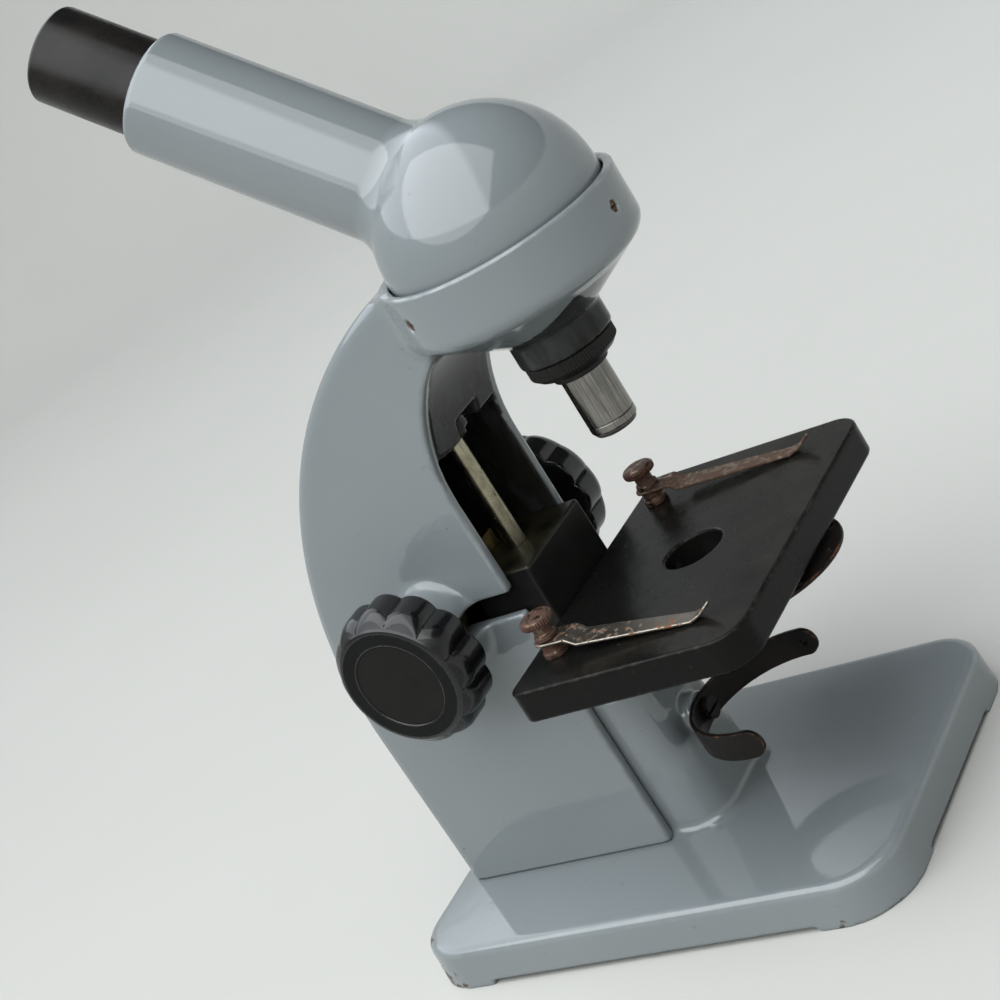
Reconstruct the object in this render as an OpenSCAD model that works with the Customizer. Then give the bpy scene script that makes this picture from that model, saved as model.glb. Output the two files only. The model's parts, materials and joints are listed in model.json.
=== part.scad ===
// School microscope with an inclined monocular head, a rack focused stage and a free-standing base.
// Millimetres. +Z is up, -Y is the stage side, X = 0 is the plane of symmetry.
// The origin is on the resting surface, under the middle of the whole microscope.

/* [Base] */
// Width of the base casting
base_w = 114; // [110:1:120]
// Length of the base casting, front to back
base_l = 169; // [166:1:172]
// Height of the base casting without its pillar
base_h = 13.5; // [12:0.5:14]
// Radius of the base's vertical corners
base_corner_r = 19; // [16:1:24]
// Height of the pillar's top above the resting surface
pillar_top = 62; // [58:1:62]

/* [Arm] */
// Outside width of the arm
arm_w = 44; // [43:0.5:46]
// Thickness of the arm's side walls
arm_wall = 3.8; // [3.5:0.1:4]
// Radius of the arm's curved back
arm_back_r = 136; // [134:1:138]
// Height at which the curved back starts
arm_bend_z = 70; // [68:1:72]

/* [Head] */
// Height of the cup's rim
rim_z = 198.3; // [196:0.1:200]
// Outside radius of the cup
cup_r = 35.2; // [35:0.1:36]
// Radius of the swivelling dome
dome_r = 32; // [31.5:0.1:32]
// Angle of the eyepiece tube above the horizontal
tube_incline = 44; // [42:1:46]
// Outside radius of the eyepiece tube
tube_r = 17.1; // [16.8:0.1:18]
// Distance from the dome's centre to the tube's end
tube_end = 102; // [98:0.2:106]

/* [Eyepiece] */
// Outside radius of the eyepiece
eyepiece_r = 13.7; // [13:0.1:14]
// Outside radius of the eyepiece's sleeve, which slides into the tube
sleeve_r = 11.6; // [11.4:0.1:11.8]
// Length of the eyepiece that shows above the tube
eyepiece_show = 31.8; // [28:0.2:34]

/* [Stage] */
// Width of the stage
stage_w = 110; // [106:1:114]
// Depth of the stage, front to back
stage_l = 75; // [73:1:77]
// Thickness of the stage
stage_t = 9.8; // [9:0.2:10]
// Height of the stage's top face
stage_z = 92; // [91:0.5:93]
// Radius of the light hole
light_hole_r = 8.9; // [8:0.1:10]

/* [Focusing] */
// Radius over the knob's lobes
knob_r = 22.7; // [21:0.1:24]
// Distance from the plane of symmetry to a knob's outer face
knob_face_x = 51.3; // [50:0.1:54]
// Number of lobes on a knob
knob_lobes = 12; // [10:1:14]

/* [Hidden] */
$fn = 96;
eps = 0.01;
far = 400;

// Fits
play = 0.05;            // radial play of a fastener in its hole
run_fit = 0.04;         // radial clearance of a running fit
gap = 0.3;              // clearance between parts that pass each other

// Optical axis, arm and base along Y
axis_y = -45.5;
base_y = 1.5;
arm_front_y = 0.5;
arm_back_y = 78;
arm_centre_y = arm_back_y - arm_back_r;
half_in = arm_w / 2 - arm_wall;
arm_edge_r = 4;
arm_back_t = 4;
base_top = base_h;
foot_lift = 1.5;
foot_l = 27;
base_shell = 5;

// Arm: curved front edge, web and rear lug
front_r = 51;
front_z = 135;
front_y = arm_front_y - front_r;
web_z = 146.8;
web_t = 6;
web_right_z = 148.3;
notch_x = [-4.2, 8.3];
notch_top = 152.4;
lug_y = 49;
lug_top = 28;
bolt_x = 9;
bolt_y = 61;
bolt_r = 3;

// Rod, shaft and slot
rod_y = 6.2;
rod_r = 3;
rod_bottom = 48;
rod_top = 158;
shaft_y = 27.5;
shaft_z = 102;
shaft_r = 3.5;
bush_r = 6;
boss_r = 13.5;
boss_x = 29;
slot_h = 7.6;

// Cup, nose and objective
cup_wall = 2.7;
cup_floor_z = 184;
bowl_z = 168.6;
bowl_slope = 30.3;
nose_r = 14;
nose_z = 161;
light_bore_r = 10;
ring_r = 13.3;
ring_z = 154.6;
collar_r = 8.3;
collar_z = 152.9;
barrel_r = 7;
barrel_z = 135.2;
spigot_r = 6;
tip_z = 134;
grub_z = 190.4;
grub_r = 1.5;

// Dome and tube, along the tube's own axis from the dome's centre
dome_z = 199.4;
skirt_r = dome_r - 0.3;
skirt_top = 197.5;
skirt_z = cup_floor_z + 0.1;
blend_r = 4;
tube_bore_r = sleeve_r + run_fit;
sleeve_wall = 1.4;
sleeve_bore_r = sleeve_r - sleeve_wall;
dome_cavity_r = dome_r - 3.5;
eyepiece_in = 28;
cap_depth = 6;
cap_seat_r = eyepiece_r - 1.2;
eyepiece_end = tube_end + eyepiece_show;

// Stage, carriage and rack
stage_back_y = -7;
stage_front_y = stage_back_y - stage_l;
stage_bottom = stage_z - stage_t;
carriage_w = 2 * (half_in - gap);
carriage_top = 110;
carriage_z = 76;
carriage_back_y = 16;
ledge_l = 20;
pinion_pitch_r = 6;
pinion_teeth = 16;
tooth_module = 2 * pinion_pitch_r / pinion_teeth;
tooth_pitch = PI * tooth_module;
addendum = 0.5;
dedendum = 0.75;
backlash = 0.1;
rack_w = 10;
rack_y = shaft_y - pinion_pitch_r;
rack_z = [62, 115];
rack_screw_z = [85, 106];
stage_screw_x = 11;
stage_screw_y = stage_back_y - 12;

// Clips
clip_x = 38;
clip_y = -16.2;
clip_splay = 3.3;
clip_lift = 4.8;
clip_t = 0.8;
clip_root_r = 4.2;
clip_neck_r = 1.95;

// Disc diaphragm
disc_y = -60.5;
disc_r = 25.5;
disc_z = 78.8;
disc_t = 1.2;
aperture_radii = [2, 3, 4, 5, 6];

// Mirror fork
fork_z = 41.5;
fork_y = -43;
fork_r = 24.8;
fork_t = 1.6;
fork_h = 9;
fork_tip_y = -44.5;
dimple_r = 1;
dimple_depth = 0.7;

// ---------- helpers ----------

// Points along an arc in the XY plane, from angle a0 to a1
function arc_points(cx, cy, r, a0, a1, steps) =
    [for (i = [0 : steps]) let (a = a0 + (a1 - a0) * i / steps) [cx + r * cos(a), cy + r * sin(a)]];

// Plan of a rounded rectangle centred on the origin
module rounded_plan(w, l, r) {
    square([w - 2 * r, l], center = true);
    square([w, l - 2 * r], center = true);
    for (sx = [-1, 1], sy = [-1, 1])
        translate([sx * (w / 2 - r), sy * (l / 2 - r)]) circle(r);
}

// Box from its lowest and highest corners
module span_box(low, high) {
    translate(low) cube([for (i = [0 : 2]) high[i] - low[i]]);
}

// Cylinder along X, centred on the plane of symmetry
module x_cylinder(r, w, y, z) {
    translate([0, y, z]) rotate([0, 90, 0]) cylinder(r = r, h = w, center = true);
}

// Children moved to the optical axis
module on_axis() {
    translate([0, axis_y, 0]) children();
}

// Children moved from the tube's own frame (Z along the tube, origin in the dome's centre)
module on_tube() {
    translate([0, axis_y, dome_z]) rotate([tube_incline - 90, 0, 0]) children();
}

// Ring from z0 to z1
module ring(r_out, r_in, z0, z1) {
    difference() {
        translate([0, 0, z0]) cylinder(r = r_out, h = z1 - z0);
        translate([0, 0, z0 - 1]) cylinder(r = r_in, h = z1 - z0 + 2);
    }
}

// Screw standing on its point: shank, head and a straight slot in the head
module slotted_screw(shank_r, shank_l, head_r, head_h) {
    slot_w = head_r * 0.3;
    difference() {
        union() {
            cylinder(r = shank_r, h = shank_l + eps);
            translate([0, 0, shank_l]) cylinder(r = head_r, h = head_h);
        }
        translate([-far / 2, -slot_w / 2, shank_l + head_h * 0.55]) cube([far, slot_w, head_h]);
    }
}

// ---------- base and arm ----------

module base() {
    ped_w = 2 * (half_in - 0.2);
    ped_front = -18;
    ped_back = 13;
    ped_corner = 9;
    ped_lean = 5.5;
    core = 5;
    color([0.55, 0.60, 0.63]) difference() {
        union() {
            translate([0, base_y, 0]) linear_extrude(base_h) rounded_plan(base_w, base_l, base_corner_r);
            // Pillar: its plan has two round front corners, its front face leans back
            intersection() {
                linear_extrude(pillar_top) union() {
                    translate([-ped_w / 2, ped_front + ped_corner])
                        square([ped_w, ped_back - ped_front - ped_corner]);
                    for (sx = [-1, 1])
                        translate([sx * (ped_w / 2 - ped_corner), ped_front + ped_corner]) circle(ped_corner);
                    translate([-ped_w / 2 + ped_corner, ped_front]) square([ped_w - 2 * ped_corner, ped_corner]);
                }
                translate([-ped_w, 0, 0]) rotate([90, 0, 90]) linear_extrude(2 * ped_w)
                    polygon([[ped_front, 0], [ped_back, 0], [ped_back, pillar_top],
                             [ped_front + ped_lean, pillar_top], [ped_front, base_h]]);
            }
            // Seat for the mirror fork
            translate([0, fork_y + fork_r + 0.05, fork_z]) rotate([-90, 0, 0]) cylinder(r = 6, h = 8);
        }
        // Hollow underside
        translate([0, base_y, -1]) linear_extrude(base_h - base_shell + 1)
            rounded_plan(base_w - 2 * base_shell, base_l - 2 * base_shell, base_corner_r - base_shell);
        // Pillar core
        span_box([-ped_w / 2 + core, ped_front + ped_lean + core, -1], [ped_w / 2 - core, ped_back - 3.5, rod_bottom - 4]);
        // Lifted edges between the four feet
        for (sx = [-1, 1])
            translate([sx * base_w / 2, base_y, 0])
                cube([4 * base_shell, base_l - 2 * foot_l, 2 * foot_lift], center = true);
        for (sy = [-1, 1])
            translate([0, base_y + sy * base_l / 2, 0])
                cube([base_w - 2 * foot_l, 4 * base_shell, 2 * foot_lift], center = true);
        // Rod seat, bolt holes and fork screw hole
        translate([0, rod_y, rod_bottom]) cylinder(r = rod_r + play, h = far);
        for (sx = [-1, 1]) translate([sx * bolt_x, bolt_y, -1]) cylinder(r = bolt_r + play, h = base_h + 2);
        translate([0, fork_y, fork_z]) rotate([-90, 0, 0]) cylinder(r = 1.5 + play, h = fork_r + 10);
    }
}

// Side outline of the arm swept across w, with its back at radius r about the arm's centre
module arm_body(r, w, edge_r, back_y) {
    translate([0, arm_centre_y, arm_bend_z]) rotate([0, 90, 0]) rotate_extrude($fn = 192) {
        translate([0, -w / 2]) square([r - edge_r, w]);
        translate([0, -w / 2 + edge_r]) square([r, w - 2 * edge_r]);
        for (s = [-1, 1]) translate([r - edge_r, s * (w / 2 - edge_r)]) circle(edge_r, $fn = 48);
    }
    translate([0, 0, base_top]) linear_extrude(arm_bend_z - base_top) {
        translate([-w / 2, 0]) square([w, back_y - edge_r]);
        translate([-w / 2 + edge_r, 0]) square([w - 2 * edge_r, back_y]);
        for (s = [-1, 1]) translate([s * (w / 2 - edge_r), back_y - edge_r]) circle(edge_r, $fn = 48);
    }
}

// Space in front of the arm's curved front edge
module arm_front_space(r) {
    x_cylinder(r, far, front_y, front_z);
    span_box([-far / 2, -far, -1], [far / 2, front_y + r, front_z]);
}

// Everything that belongs to the arm lies behind its front edge, above the base and below the rim
module arm_limits() {
    difference() {
        span_box([-far / 2, axis_y, base_top], [far / 2, far, rim_z]);
        arm_front_space(front_r);
    }
}

// Cup with a conical underside that rises from the nose to a rounded lower edge
module cup_outside() {
    edge_r = 2.5;
    edge_z = bowl_z + ((cup_r - edge_r - nose_r) * sin(bowl_slope) + edge_r) / cos(bowl_slope);
    rotate_extrude($fn = 192) polygon(concat(
        [[0, nose_z], [nose_r - 0.5, nose_z], [nose_r, nose_z + 0.5], [nose_r, bowl_z]],
        arc_points(cup_r - edge_r, edge_z, edge_r, bowl_slope - 90, 0, 8),
        arc_points(cup_r - 0.8, rim_z - 0.8, 0.8, 0, 90, 5),
        [[0, rim_z]]));
}

module cup_inside() {
    rotate_extrude($fn = 192) polygon([
        [0, nose_z - 1], [light_bore_r, nose_z - 1], [light_bore_r, 172.5], [24, 177.5], [28.2, cup_floor_z],
        [cup_r - cup_wall, cup_floor_z], [cup_r - cup_wall, rim_z + 1], [0, rim_z + 1]]);
}

module arm() {
    color([0.55, 0.60, 0.63]) difference() {
        union() {
            intersection() {
                difference() {
                    arm_body(arm_back_r, arm_w, arm_edge_r, arm_back_y);
                    arm_body(arm_back_r - arm_back_t, 2 * half_in, 0.5, arm_back_y - arm_back_t);
                    span_box([-half_in, -far, 0], [half_in, arm_back_y - arm_back_t - 1, arm_bend_z]);
                }
                arm_limits();
            }
            // Web that closes the channel below the cup, and the lug that holds the rod's top
            intersection() {
                arm_limits();
                x_cylinder(front_r + web_t, 2 * half_in + 0.4, front_y, front_z);
                span_box([-far, -far, web_z], [far, far, rim_z]);
            }
            intersection() {
                arm_limits();
                translate([0, rod_y, web_z]) cylinder(r = 7, h = 15);
            }
            // Rear lug for the bolts
            span_box([-half_in - 0.2, lug_y, base_top], [half_in + 0.2, arm_back_y - arm_back_t + 0.2, lug_top]);
            // Bosses of the focusing shaft
            for (sx = [-1, 1]) translate([sx * (arm_w / 2 - 1), shaft_y, shaft_z]) rotate([0, sx * 90, 0]) {
                cylinder(r1 = boss_r + 4, r2 = boss_r, h = 4);
                cylinder(r = boss_r, h = boss_x - arm_w / 2 + 1);
            }
            on_axis() cup_outside();
        }
        on_axis() cup_inside();
        // Slot through which the focusing shaft goes in, and the bores of its bushes
        span_box([-far / 2, -far, shaft_z - slot_h / 2], [far / 2, shaft_y, shaft_z + slot_h / 2]);
        x_cylinder(bush_r, far, shaft_y, shaft_z);
        // Notch in the web, its higher right side, rod hole, bolt holes
        span_box([notch_x[0], -far, web_z - 1], [notch_x[1], rod_y - rod_r - 0.5, notch_top]);
        span_box([notch_x[1] - 1, -far, web_z - 1], [half_in, rod_y + rod_r, web_right_z]);
        translate([0, rod_y, web_z - 1]) cylinder(r = rod_r, h = rod_top - web_z + 1);
        for (sx = [-1, 1]) translate([sx * bolt_x, bolt_y, 0]) cylinder(r = bolt_r + play, h = lug_top - 2);
        // Threaded holes of the grub screws
        on_axis() for (a = [-90, 30, 150]) rotate([0, 0, a]) translate([cup_r - 6, 0, grub_z])
            rotate([0, 90, 0]) cylinder(r = grub_r, h = 10);
    }
}

module arm_bolts() {
    head_h = 4;
    color("dimgray") for (sx = [-1, 1]) translate([sx * bolt_x, bolt_y, base_h - base_shell - head_h]) {
        cylinder(r = bolt_r, h = 20);
        cylinder(r = 5, h = head_h, $fn = 6);
    }
}

module shaft_bushes() {
    color("darkkhaki") for (sx = [-1, 1])
        translate([sx * (half_in + boss_x) / 2, 0, 0]) difference() {
            x_cylinder(bush_r, boss_x - half_in, shaft_y, shaft_z);
            x_cylinder(shaft_r + run_fit, far, shaft_y, shaft_z);
        }
}

module guide_rod() {
    color([0.55, 0.50, 0.42]) translate([0, rod_y, rod_bottom]) cylinder(r = rod_r, h = rod_top - rod_bottom);
}

module grub_screws() {
    length = 4.2;
    color("dimgray") on_axis() for (a = [-90, 30, 150]) rotate([0, 0, a])
        translate([cup_r - cup_wall - 2, 0, grub_z]) rotate([0, 90, 0]) difference() {
            cylinder(r = grub_r, h = length);
            translate([-0.25, -far / 2, length - 0.8]) cube([0.5, far, 2]);
        }
}

// ---------- objective ----------

module knurled_ring() {
    knurls = 60;
    color([0.12, 0.12, 0.12]) on_axis() difference() {
        union() {
            rotate_extrude() polygon([
                [0, ring_z], [collar_r, ring_z], [11.7, ring_z + 1.1], [ring_r - 0.4, ring_z + 2.2],
                [ring_r - 0.4, nose_z - 0.7], [ring_r - 1, nose_z], [0, nose_z]]);
            translate([0, 0, ring_z + 2.4]) linear_extrude(nose_z - ring_z - 3.4) union() {
                circle(ring_r - 0.4);
                for (k = [0 : knurls - 1]) rotate(k * 360 / knurls) translate([ring_r - 0.45, 0]) circle(0.45, $fn = 4);
            }
            translate([0, 0, nose_z - eps]) cylinder(r = light_bore_r - play, h = 6);
        }
        translate([0, 0, ring_z - 1]) cylinder(r = spigot_r + play, h = far);
    }
}

module objective_collar() {
    color([0.1, 0.1, 0.1]) on_axis() ring(collar_r, spigot_r + play, collar_z, ring_z);
}

module objective_barrel() {
    color("silver") on_axis() difference() {
        union() {
            translate([0, 0, barrel_z]) cylinder(r = barrel_r, h = collar_z - barrel_z);
            translate([0, 0, collar_z - eps]) cylinder(r = spigot_r, h = 11);
        }
        translate([0, 0, barrel_z - 1]) cylinder(r = 4.8, h = far);
    }
}

module objective_tip() {
    color([0.25, 0.23, 0.22]) on_axis() difference() {
        union() {
            translate([0, 0, tip_z]) cylinder(r1 = barrel_r - 0.7, r2 = barrel_r - 0.1, h = barrel_z - tip_z);
            translate([0, 0, barrel_z - eps]) cylinder(r = 4.8 - play, h = 2);
        }
        translate([0, 0, tip_z - 1]) cylinder(r = 3, h = far);
    }
}

// Plano-convex lens with its flat face down at z = 0
module lens(r, thickness, curve_r) {
    intersection() {
        cylinder(r = r, h = thickness);
        translate([0, 0, thickness - curve_r]) sphere(curve_r);
    }
}

module objective_front_lens() {
    color([0.7, 0.8, 0.85, 0.6]) on_axis() translate([0, 0, 137.3]) lens(4.8 - play, 2.2, 9);
}

module objective_rear_lens() {
    color([0.7, 0.8, 0.85, 0.6]) on_axis() translate([0, 0, 147]) lens(4.8 - play, 2.2, 12);
}

// ---------- mirror fork ----------

module mirror_fork() {
    color([0.15, 0.12, 0.11]) difference() {
        intersection() {
            translate([0, 0, fork_z - fork_h / 2]) linear_extrude(fork_h) difference() {
                union() {
                    translate([0, fork_y]) circle(fork_r);
                    translate([-fork_r, -far]) square([2 * fork_r, far + fork_y]);
                }
                translate([0, fork_y]) circle(fork_r - fork_t);
                translate([-fork_r + fork_t, -far]) square([2 * (fork_r - fork_t), far + fork_y]);
            }
            // Round ends of the two arms
            union() {
                x_cylinder(fork_h / 2 + 0.1, far, fork_tip_y, fork_z);
                span_box([-far, fork_tip_y, 0], [far, far, far]);
            }
        }
        // Dimples that the mirror's pivot points sit in, and the hole for the fork's screw
        x_cylinder(dimple_r, 2 * (fork_r - fork_t + dimple_depth), fork_tip_y, fork_z);
        translate([0, fork_y, fork_z]) rotate([-90, 0, 0]) cylinder(r = 2 + run_fit, h = far);
    }
}

module fork_screw() {
    head_y = fork_y + fork_r - fork_t - 0.5;
    shank_l = 10;
    color("dimgray") {
        translate([0, head_y + shank_l, fork_z]) rotate([90, 0, 0]) slotted_screw(1.5, shank_l, 3.4, 2);
        translate([0, head_y, fork_z]) rotate([-90, 0, 0]) cylinder(r = 2, h = fork_t + 0.5);
    }
}

// ---------- stage ----------

module carriage_block() {
    color([0.2, 0.19, 0.15]) difference() {
        union() {
            span_box([-carriage_w / 2, stage_back_y, carriage_z], [carriage_w / 2, carriage_back_y, carriage_top]);
            span_box([-carriage_w / 2, stage_back_y - ledge_l, carriage_z],
                     [carriage_w / 2, stage_back_y + eps, stage_bottom]);
        }
        translate([0, rod_y, 0]) cylinder(r = rod_r + run_fit, h = far);
        for (z = rack_screw_z) translate([0, carriage_back_y - 5, z]) rotate([-90, 0, 0]) cylinder(r = 1, h = 10);
        for (sx = [-1, 1]) translate([sx * stage_screw_x, stage_screw_y, 0]) cylinder(r = 2 + play, h = far);
    }
}

// Outline of the rack, seen along X: teeth face +Y, and a gap is level with the shaft
module rack_outline() {
    half_tip = (tooth_pitch - backlash) / 4 - addendum * tan(20);
    half_root = (tooth_pitch - backlash) / 4 + dedendum * tan(20);
    first = ceil((rack_z[0] + half_root - shaft_z) / tooth_pitch - 0.5);
    last = floor((rack_z[1] - half_root - shaft_z) / tooth_pitch - 0.5);
    polygon(concat(
        [[carriage_back_y, rack_z[0]], [rack_y - dedendum, rack_z[0]]],
        [for (k = [first : last], p = [[-dedendum, -half_root], [addendum, -half_tip],
                                       [addendum, half_tip], [-dedendum, half_root]])
            [rack_y + p[0], shaft_z + (k + 0.5) * tooth_pitch + p[1]]],
        [[rack_y - dedendum, rack_z[1]], [carriage_back_y, rack_z[1]]]));
}

module focus_rack() {
    color("goldenrod") difference() {
        translate([-rack_w / 2, 0, 0]) rotate([90, 0, 90]) linear_extrude(rack_w) rack_outline();
        for (z = rack_screw_z) translate([0, carriage_back_y - 1, z]) rotate([-90, 0, 0]) {
            cylinder(r = 1 + play, h = far);
            translate([0, 0, 3]) cylinder(r = 2.1, h = far);
        }
    }
}

module rack_screws() {
    color("dimgray") for (z = rack_screw_z)
        translate([0, carriage_back_y - 4, z]) rotate([-90, 0, 0]) slotted_screw(1 - play, 6.05, 2, 1.2);
}

module stage_plate() {
    front_corner = 10;
    back_corner = 4;
    color([0.13, 0.13, 0.13]) difference() {
        translate([0, 0, stage_bottom]) linear_extrude(stage_t) difference() {
            translate([-stage_w / 2, stage_front_y]) square([stage_w, stage_l]);
            for (sx = [-1, 1]) {
                translate([sx * stage_w / 2, stage_front_y]) difference() {
                    square(2 * front_corner, center = true);
                    translate([-sx * front_corner, front_corner]) circle(front_corner);
                }
                translate([sx * stage_w / 2, stage_back_y]) difference() {
                    square(2 * back_corner, center = true);
                    translate([-sx * back_corner, -back_corner]) circle(back_corner);
                }
            }
        }
        translate([0, axis_y, 0]) cylinder(r = light_hole_r, h = far);
        for (sx = [-1, 1]) {
            translate([sx * clip_x, clip_y, stage_z - 8]) cylinder(r = 1.5 + play, h = 10);
            translate([sx * stage_screw_x, stage_screw_y, stage_bottom - 1]) cylinder(r = 2 + play, h = 8);
        }
        translate([0, disc_y, stage_bottom - 1]) cylinder(r = 1.5 + play, h = 7);
    }
}

module stage_screws() {
    color("dimgray") for (sx = [-1, 1]) translate([sx * stage_screw_x, stage_screw_y, stage_bottom + 6])
        rotate([180, 0, 0]) slotted_screw(2, 6 + stage_bottom - carriage_z + 0.05, 3.8, 2);
}

// ---------- clips ----------

module clip_collars() {
    color([0.45, 0.28, 0.15]) for (sx = [-1, 1]) translate([sx * clip_x, clip_y, 0])
        ring(3.1, clip_neck_r + play, stage_z, stage_z + clip_lift - 0.05);
}

module clip_screws() {
    head_z = stage_z + 10.6;
    clip_top = stage_z + clip_lift + clip_t + 0.05;
    color([0.42, 0.25, 0.17]) for (sx = [-1, 1]) translate([sx * clip_x, clip_y, 0]) {
        translate([0, 0, stage_z - 7.5]) cylinder(r = 1.5, h = 8);
        translate([0, 0, stage_z + 0.1]) cylinder(r = clip_neck_r, h = clip_top - stage_z);
        translate([0, 0, clip_top]) cylinder(r = 3, h = head_z - clip_top + eps);
        translate([0, 0, head_z]) cylinder(r = 5, h = 2.6);
    }
}

// Clip with its pivot at the origin and the stage's top at z = 0, pointing along -Y
module clip() {
    crank_top_y = -7.8;
    crank_y = -10.8;
    bend_y = -47.3;
    tip_y = -54.3;
    crank_lift = 2.7;
    bend_lift = 0.35;
    tip_lift = 3.7;
    blade_half = 4;
    bend_half = 2.5;
    tip_half = 0.6;
    tail_y = clip_root_r + 1;
    // Underside of the side profile, from the tail to the tip
    under = [[tail_y, clip_lift], [crank_top_y, clip_lift], [crank_y, crank_lift],
             [bend_y, bend_lift], [tip_y, tip_lift]];
    // One half of the plan outline
    half = [[clip_root_r, 0], [clip_root_r - 0.1, crank_top_y], [blade_half, crank_y],
            [bend_half, bend_y], [tip_half, tip_y]];
    last = len(under) - 1;
    difference() {
        intersection() {
            translate([-10, 0, 0]) rotate([90, 0, 90]) linear_extrude(20)
                polygon(concat(under, [for (i = [0 : last]) under[last - i] + [0, clip_t]]));
            linear_extrude(20) union() {
                circle(clip_root_r);
                polygon(concat(half, [for (i = [0 : last]) [-half[last - i][0], half[last - i][1]]]));
            }
        }
        translate([0, 0, -1]) cylinder(r = clip_neck_r + run_fit + 0.02, h = 20);
    }
}

module placed_clip(side) {
    color([0.6, 0.45, 0.33]) translate([side * clip_x, clip_y, stage_z]) rotate([0, 0, side * clip_splay]) clip();
}

module left_clip() {
    placed_clip(-1);
}

module right_clip() {
    placed_clip(1);
}

// ---------- disc diaphragm ----------

module diaphragm_disc() {
    aperture_ring_r = axis_y - disc_y;
    count = len(aperture_radii);
    detents = 10;
    color([0.22, 0.13, 0.10]) translate([0, disc_y, disc_z]) difference() {
        cylinder(r = disc_r, h = disc_t);
        translate([0, 0, -1]) cylinder(r = 2 + run_fit, h = 4);
        for (i = [0 : count - 1]) rotate([0, 0, 90 + i * 360 / count])
            translate([aperture_ring_r, 0, -1]) cylinder(r = aperture_radii[i], h = 4);
        for (i = [0 : detents - 1]) rotate([0, 0, 18 + i * 360 / detents])
            translate([disc_r - 2.6, 0, -1]) cylinder(r = 0.9, h = 4, $fn = 24);
    }
}

module diaphragm_screw() {
    color("dimgray") translate([0, disc_y, 0]) {
        translate([0, 0, disc_z - 0.1 - 1.8]) cylinder(r = 4, h = 1.8);
        translate([0, 0, disc_z - 0.2]) cylinder(r = 2, h = disc_t + 0.3);
        translate([0, 0, disc_z]) cylinder(r = 1.5, h = 8.5);
    }
}

module diaphragm_spacer() {
    color("dimgray") translate([0, disc_y, 0]) ring(5, 1.5 + play, disc_z + disc_t + 0.12, stage_bottom);
}

// ---------- focusing shaft ----------

module pinion_shaft() {
    color("silver") difference() {
        x_cylinder(shaft_r, 92, shaft_y, shaft_z);
        for (s = [-1, 1]) translate([s * 46, 0, 0]) x_cylinder(1.5 + play, 24, shaft_y, shaft_z);
    }
}

// Half angle of a pinion tooth at radius r, from the involute of a 20 degree tooth
function tooth_half_angle(r, base_r) =
    let (a = acos(min(1, base_r / r)), a0 = 20)
    let (at_pitch = (tooth_pitch / 2 - backlash / 2) / 2 / pinion_pitch_r * 180 / PI)
    at_pitch + (tan(a0) * 180 / PI - a0) - (tan(a) * 180 / PI - a);

module pinion() {
    base_r = pinion_pitch_r * cos(20);
    root_r = pinion_pitch_r - dedendum;
    tip_r = pinion_pitch_r + addendum;
    flank = [for (i = [0 : 4]) base_r + 0.001 + (tip_r - base_r - 0.001) * i / 4];
    root_half = tooth_half_angle(flank[0], base_r);
    color("goldenrod") translate([0, shaft_y, shaft_z]) rotate([0, 90, 0]) translate([0, 0, -rack_w / 2])
        linear_extrude(rack_w) difference() {
            // A tooth points at the rack
            rotate(-90) polygon([for (k = [0 : pinion_teeth - 1]) let (a = k * 360 / pinion_teeth)
                for (p = concat([[root_r, -root_half]],
                                [for (r = flank) [r, -tooth_half_angle(r, base_r)]],
                                [for (i = [0 : 4]) let (r = flank[4 - i]) [r, tooth_half_angle(r, base_r)]],
                                [[root_r, root_half]]))
                    [p[0] * cos(a + p[1]), p[0] * sin(a + p[1])]]);
            circle(shaft_r + play);
        }
}

// Knob in its own frame: axis along Z, outer face at z = 0, body below it
module knob() {
    depth = 13.5;
    shoulder = 2.8;
    lobe_r = 7.3;
    face_r = 18.5;
    hub_r = 9;
    hub_l = 7.4;
    cap_r = 13.4;
    difference() {
        union() {
            translate([0, 0, -depth]) linear_extrude(depth - shoulder) union() {
                circle(knob_r - 3);
                for (k = [0 : knob_lobes - 1]) rotate(k * 360 / knob_lobes)
                    translate([knob_r - lobe_r, 0]) circle(lobe_r, $fn = 48);
            }
            translate([0, 0, -shoulder - eps]) cylinder(r1 = face_r + 1.4, r2 = face_r, h = shoulder + eps);
            translate([0, 0, -depth - hub_l]) cylinder(r = hub_r, h = hub_l + eps);
        }
        translate([0, 0, -1.2]) cylinder(r = cap_r + play, h = 2);
        translate([0, 0, -5.2]) cylinder(r = 4.5, h = 6);
        translate([0, 0, -far]) cylinder(r = shaft_r + play, h = far - 6);
        translate([0, 0, -far]) cylinder(r = 1.5 + play, h = far);
    }
}

module placed_knob(side) {
    color([0.10, 0.10, 0.11]) translate([side * knob_face_x, shaft_y, shaft_z]) rotate([0, side * 90, 0])
        rotate([0, 0, 5]) knob();
}

module left_knob() {
    placed_knob(-1);
}

module right_knob() {
    placed_knob(1);
}

module knob_caps() {
    color([0.17, 0.17, 0.15]) for (s = [-1, 1]) translate([s * (knob_face_x - 1.2), shaft_y, shaft_z])
        rotate([0, s * 90, 0]) cylinder(r = 13.4, h = 0.9);
}

module knob_screws() {
    color("dimgray") for (s = [-1, 1]) translate([s * (knob_face_x - 17), shaft_y, shaft_z])
        rotate([0, s * 90, 0]) slotted_screw(1.5, 11.9, 3, 2.2);
}

// ---------- head ----------

// Outline of the dome and its tube, which share the tube's axis
module dome_outline() {
    blend_h = sqrt(pow(dome_r + blend_r, 2) - pow(tube_r + blend_r, 2));
    blend_a = atan2(blend_h, tube_r + blend_r);
    rim_round = 1.2;
    polygon(concat(
        arc_points(0, 0, dome_r, -90, blend_a, 48),
        arc_points(tube_r + blend_r, blend_h, blend_r, 180 + blend_a, 180, 8),
        arc_points(tube_r - rim_round, tube_end - rim_round, rim_round, 0, 90, 6),
        [[0, tube_end]]));
}

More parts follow.
